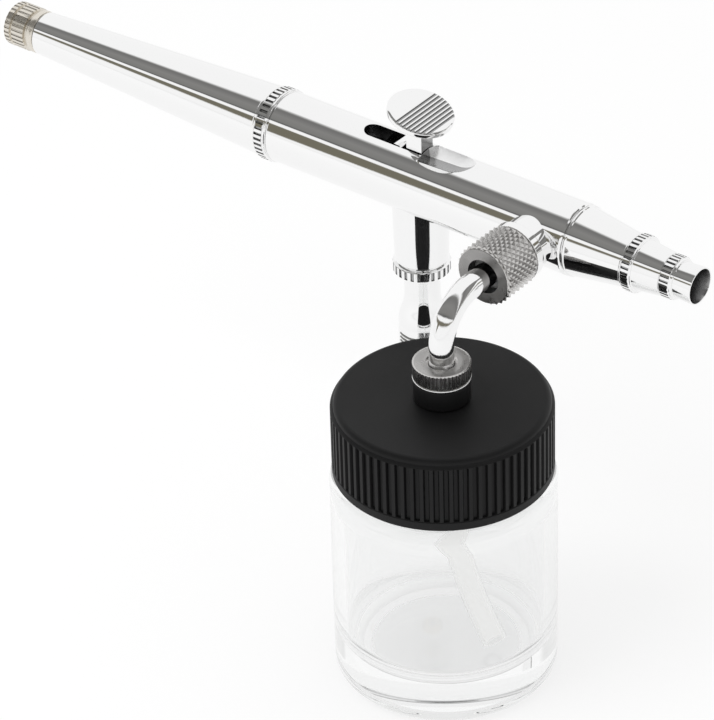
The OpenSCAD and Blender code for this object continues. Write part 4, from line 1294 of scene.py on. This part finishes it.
class AIRBRUSH_OT_stage(bpy.types.Operator):
    """Set up the pale floor, the studio light and the camera"""

    bl_idname = "airbrush.stage"
    bl_label = "Stage"

    def execute(self, context):
        studio = context.scene.airbrush_studio
        context.scene.view_settings.view_transform = "Standard"
        self.lay_floor(studio)
        self.light_room(context, studio)
        self.hang_lamp(studio)
        self.set_camera(context, studio)
        return {"FINISHED"}

    def lay_floor(self, studio):
        """A white floor whose own glow fills what the light on it leaves."""
        deselect()
        bpy.ops.mesh.primitive_plane_add(size=studio.floor_size, location=(0, 0, JAR_BASE * MM))
        floor = bpy.context.object
        floor.name = floor.data.name = "floor"
        material, tree, shader = new_material("pale_floor")
        share = studio.floor_shade
        shader.inputs["Base Color"].default_value = (share, share, share, 1)
        shader.inputs["Roughness"].default_value = 1
        shader.inputs["Specular IOR Level"].default_value = 0
        path = tree.nodes.new("ShaderNodeLightPath")
        seen = math_node(tree, "MAXIMUM", path.outputs["Is Camera Ray"], path.outputs["Is Glossy Ray"])
        seen = math_node(tree, "MAXIMUM", seen, path.outputs["Is Transmission Ray"])
        glow = tree.nodes.new("ShaderNodeEmission")
        lamp_level = 0.83
        link(tree, math_node(tree, "MULTIPLY", seen, 1 - lamp_level * share), glow.inputs["Strength"])
        add = tree.nodes.new("ShaderNodeAddShader")
        link(tree, shader.outputs["BSDF"], add.inputs[0])
        link(tree, glow.outputs["Emission"], add.inputs[1])
        link(tree, add.outputs["Shader"], tree.nodes["Material Output"].inputs["Surface"])
        floor.data.materials.append(material)

    def light_room(self, context, studio):
        """White to the camera, even to matt surfaces, and a banded studio room to metal and glass."""
        world = bpy.data.worlds.new("studio_room")
        context.scene.world = world
        world.use_nodes = True
        tree = world.node_tree
        room = tree.nodes["Background"]
        place = tree.nodes.new("ShaderNodeTexCoord")
        split = tree.nodes.new("ShaderNodeSeparateXYZ")
        link(tree, place.outputs["Generated"], split.inputs[0])
        white = (1, 1, 1)
        share = self.round_the_gun(tree, split)
        bands = ramp_node(tree, share, self.room_bands(white))
        lowest = self.lower_edge(tree, split)
        above = range_node(tree, math_node(tree, "SUBTRACT", share, lowest), -0.008, 0.012)
        lit = mix_colours(tree, above.outputs["Result"], white, bands)
        path = tree.nodes.new("ShaderNodeLightPath")
        through = math_node(tree, "MULTIPLY", path.outputs["Is Transmission Ray"], 0.75)
        link(tree, mix_colours(tree, through, lit, white), room.inputs["Color"])
        even = tree.nodes.new("ShaderNodeBackground")
        even.inputs["Strength"].default_value = studio.ambient
        blank = tree.nodes.new("ShaderNodeBackground")
        blank.inputs["Color"].default_value = (*white, 1)
        matt = mix_shaders(tree, path.outputs["Is Diffuse Ray"], room.outputs[0], even.outputs[0])
        seen = mix_shaders(tree, path.outputs["Is Camera Ray"], matt, blank.outputs[0])
        link(tree, seen, tree.nodes["World Output"].inputs["Surface"])

    def round_the_gun(self, tree, split):
        """Share of the half turn over the gun, front to back, with the back mirrored ahead of the gun."""
        front = math_node(tree, "MULTIPLY", split.outputs["Y"], -1.0)
        turn = math_node(tree, "ARCTAN2", split.outputs["Z"], front)
        share = math_node(tree, "DIVIDE", turn, math.pi)
        folded = math_node(tree, "MINIMUM", share, math_node(tree, "SUBTRACT", 1.0, share))
        ahead = range_node(tree, split.outputs["X"], 0.25, 0.5)
        change = math_node(tree, "SUBTRACT", folded, share)
        return math_node(tree, "MULTIPLY_ADD", ahead.outputs["Result"], change, share)

    def room_bands(self, white):
        """Stops of the room's bands: a low olive wall, a white strip, grey walls and a white ceiling."""
        olive, dark, grey = (0.18, 0.168, 0.13), (0.1, 0.1, 0.1), (0.22, 0.218, 0.21)
        pale, dusk = (0.245, 0.242, 0.235), (0.18, 0.178, 0.175)
        return [
            (0.0, olive), (0.16, olive), (0.172, white), (0.212, white), (0.222, dark), (0.25, grey),
            (0.34, pale), (0.43, dusk), (0.45, grey), (0.49, white), (1.0, white)]

    def lower_edge(self, tree, split):
        """Height share where the white floor ends: it dips to a point towards the tail."""
        dip_x, slope, lowest, highest = -0.545, 0.8, 0.015, 0.12
        off = math_node(tree, "ABSOLUTE", math_node(tree, "SUBTRACT", split.outputs["X"], dip_x))
        return math_node(tree, "MINIMUM", math_node(tree, "MULTIPLY_ADD", off, slope, lowest), highest)

    def hang_lamp(self, studio):
        """A large soft lamp at the front left that casts the soft shadow."""
        deselect()
        place, width = Vector((-250, -550, 750)), 600
        bpy.ops.object.light_add(type="AREA", location=place * MM)
        lamp = bpy.context.object
        lamp.data.shape = "DISK"
        lamp.data.size = width * MM
        lamp.data.energy = studio.key_power
        lamp.visible_glossy = False
        lamp.visible_transmission = False
        lamp.rotation_euler = (-place).to_track_quat("-Z", "Y").to_euler()

    def set_camera(self, context, studio):
        """The camera at the photographed angle."""
        deselect()
        bpy.ops.object.camera_add(location=studio.eye)
        camera = bpy.context.object
        aim = Vector(studio.target) - Vector(studio.eye)
        look = aim.to_track_quat("-Z", "Y").to_matrix()
        camera.rotation_euler = (look @ Matrix.Rotation(studio.roll, 3, "Z")).to_euler()
        camera.data.sensor_width = 36
        camera.data.lens = studio.lens
        camera.data.clip_start = 0.01
        camera.data.clip_end = 20
        context.scene.camera = camera


PIECES = (
    AIRBRUSH_OT_barrel, AIRBRUSH_OT_nose, AIRBRUSH_OT_handle, AIRBRUSH_OT_knob, AIRBRUSH_OT_trigger,
    AIRBRUSH_OT_lever, AIRBRUSH_OT_valve, AIRBRUSH_OT_clamp_nut, AIRBRUSH_OT_feed_tube,
    AIRBRUSH_OT_cap_fittings, AIRBRUSH_OT_jar_cap, AIRBRUSH_OT_jar, AIRBRUSH_OT_dip_tube,
    AIRBRUSH_OT_inner_parts, AIRBRUSH_OT_stage)


class AIRBRUSH_PT_panel(bpy.types.Panel):
    """Lists the airbrush's pieces in the sidebar"""

    bl_label = "Airbrush"
    bl_idname = "AIRBRUSH_PT_panel"
    bl_space_type = "VIEW_3D"
    bl_region_type = "UI"
    bl_category = "Airbrush"

    def draw(self, context):
        column = self.layout.column()
        for piece in PIECES:
            column.operator(piece.bl_idname)


GROUPS = (
    ("airbrush_sizes", AirbrushSizes),
    ("airbrush_colours", AirbrushColours),
    ("airbrush_studio", AirbrushStudio))


def register():
    """Registers the settings, the operators and the panel."""
    for name, group in GROUPS:
        bpy.utils.register_class(group)
        setattr(bpy.types.Scene, name, bpy.props.PointerProperty(type=group))
    for operator in PIECES:
        bpy.utils.register_class(operator)
    bpy.utils.register_class(AIRBRUSH_PT_panel)


def unregister():
    """Takes the panel, the operators and the settings away again."""
    bpy.utils.unregister_class(AIRBRUSH_PT_panel)
    for operator in reversed(PIECES):
        bpy.utils.unregister_class(operator)
    for name, group in reversed(GROUPS):
        delattr(bpy.types.Scene, name)
        bpy.utils.unregister_class(group)


def main():
    register()
    for piece in PIECES:
        family, name = piece.bl_idname.split(".")
        getattr(getattr(bpy.ops, family), name)()
    deselect()


if __name__ == "__main__":
    main()
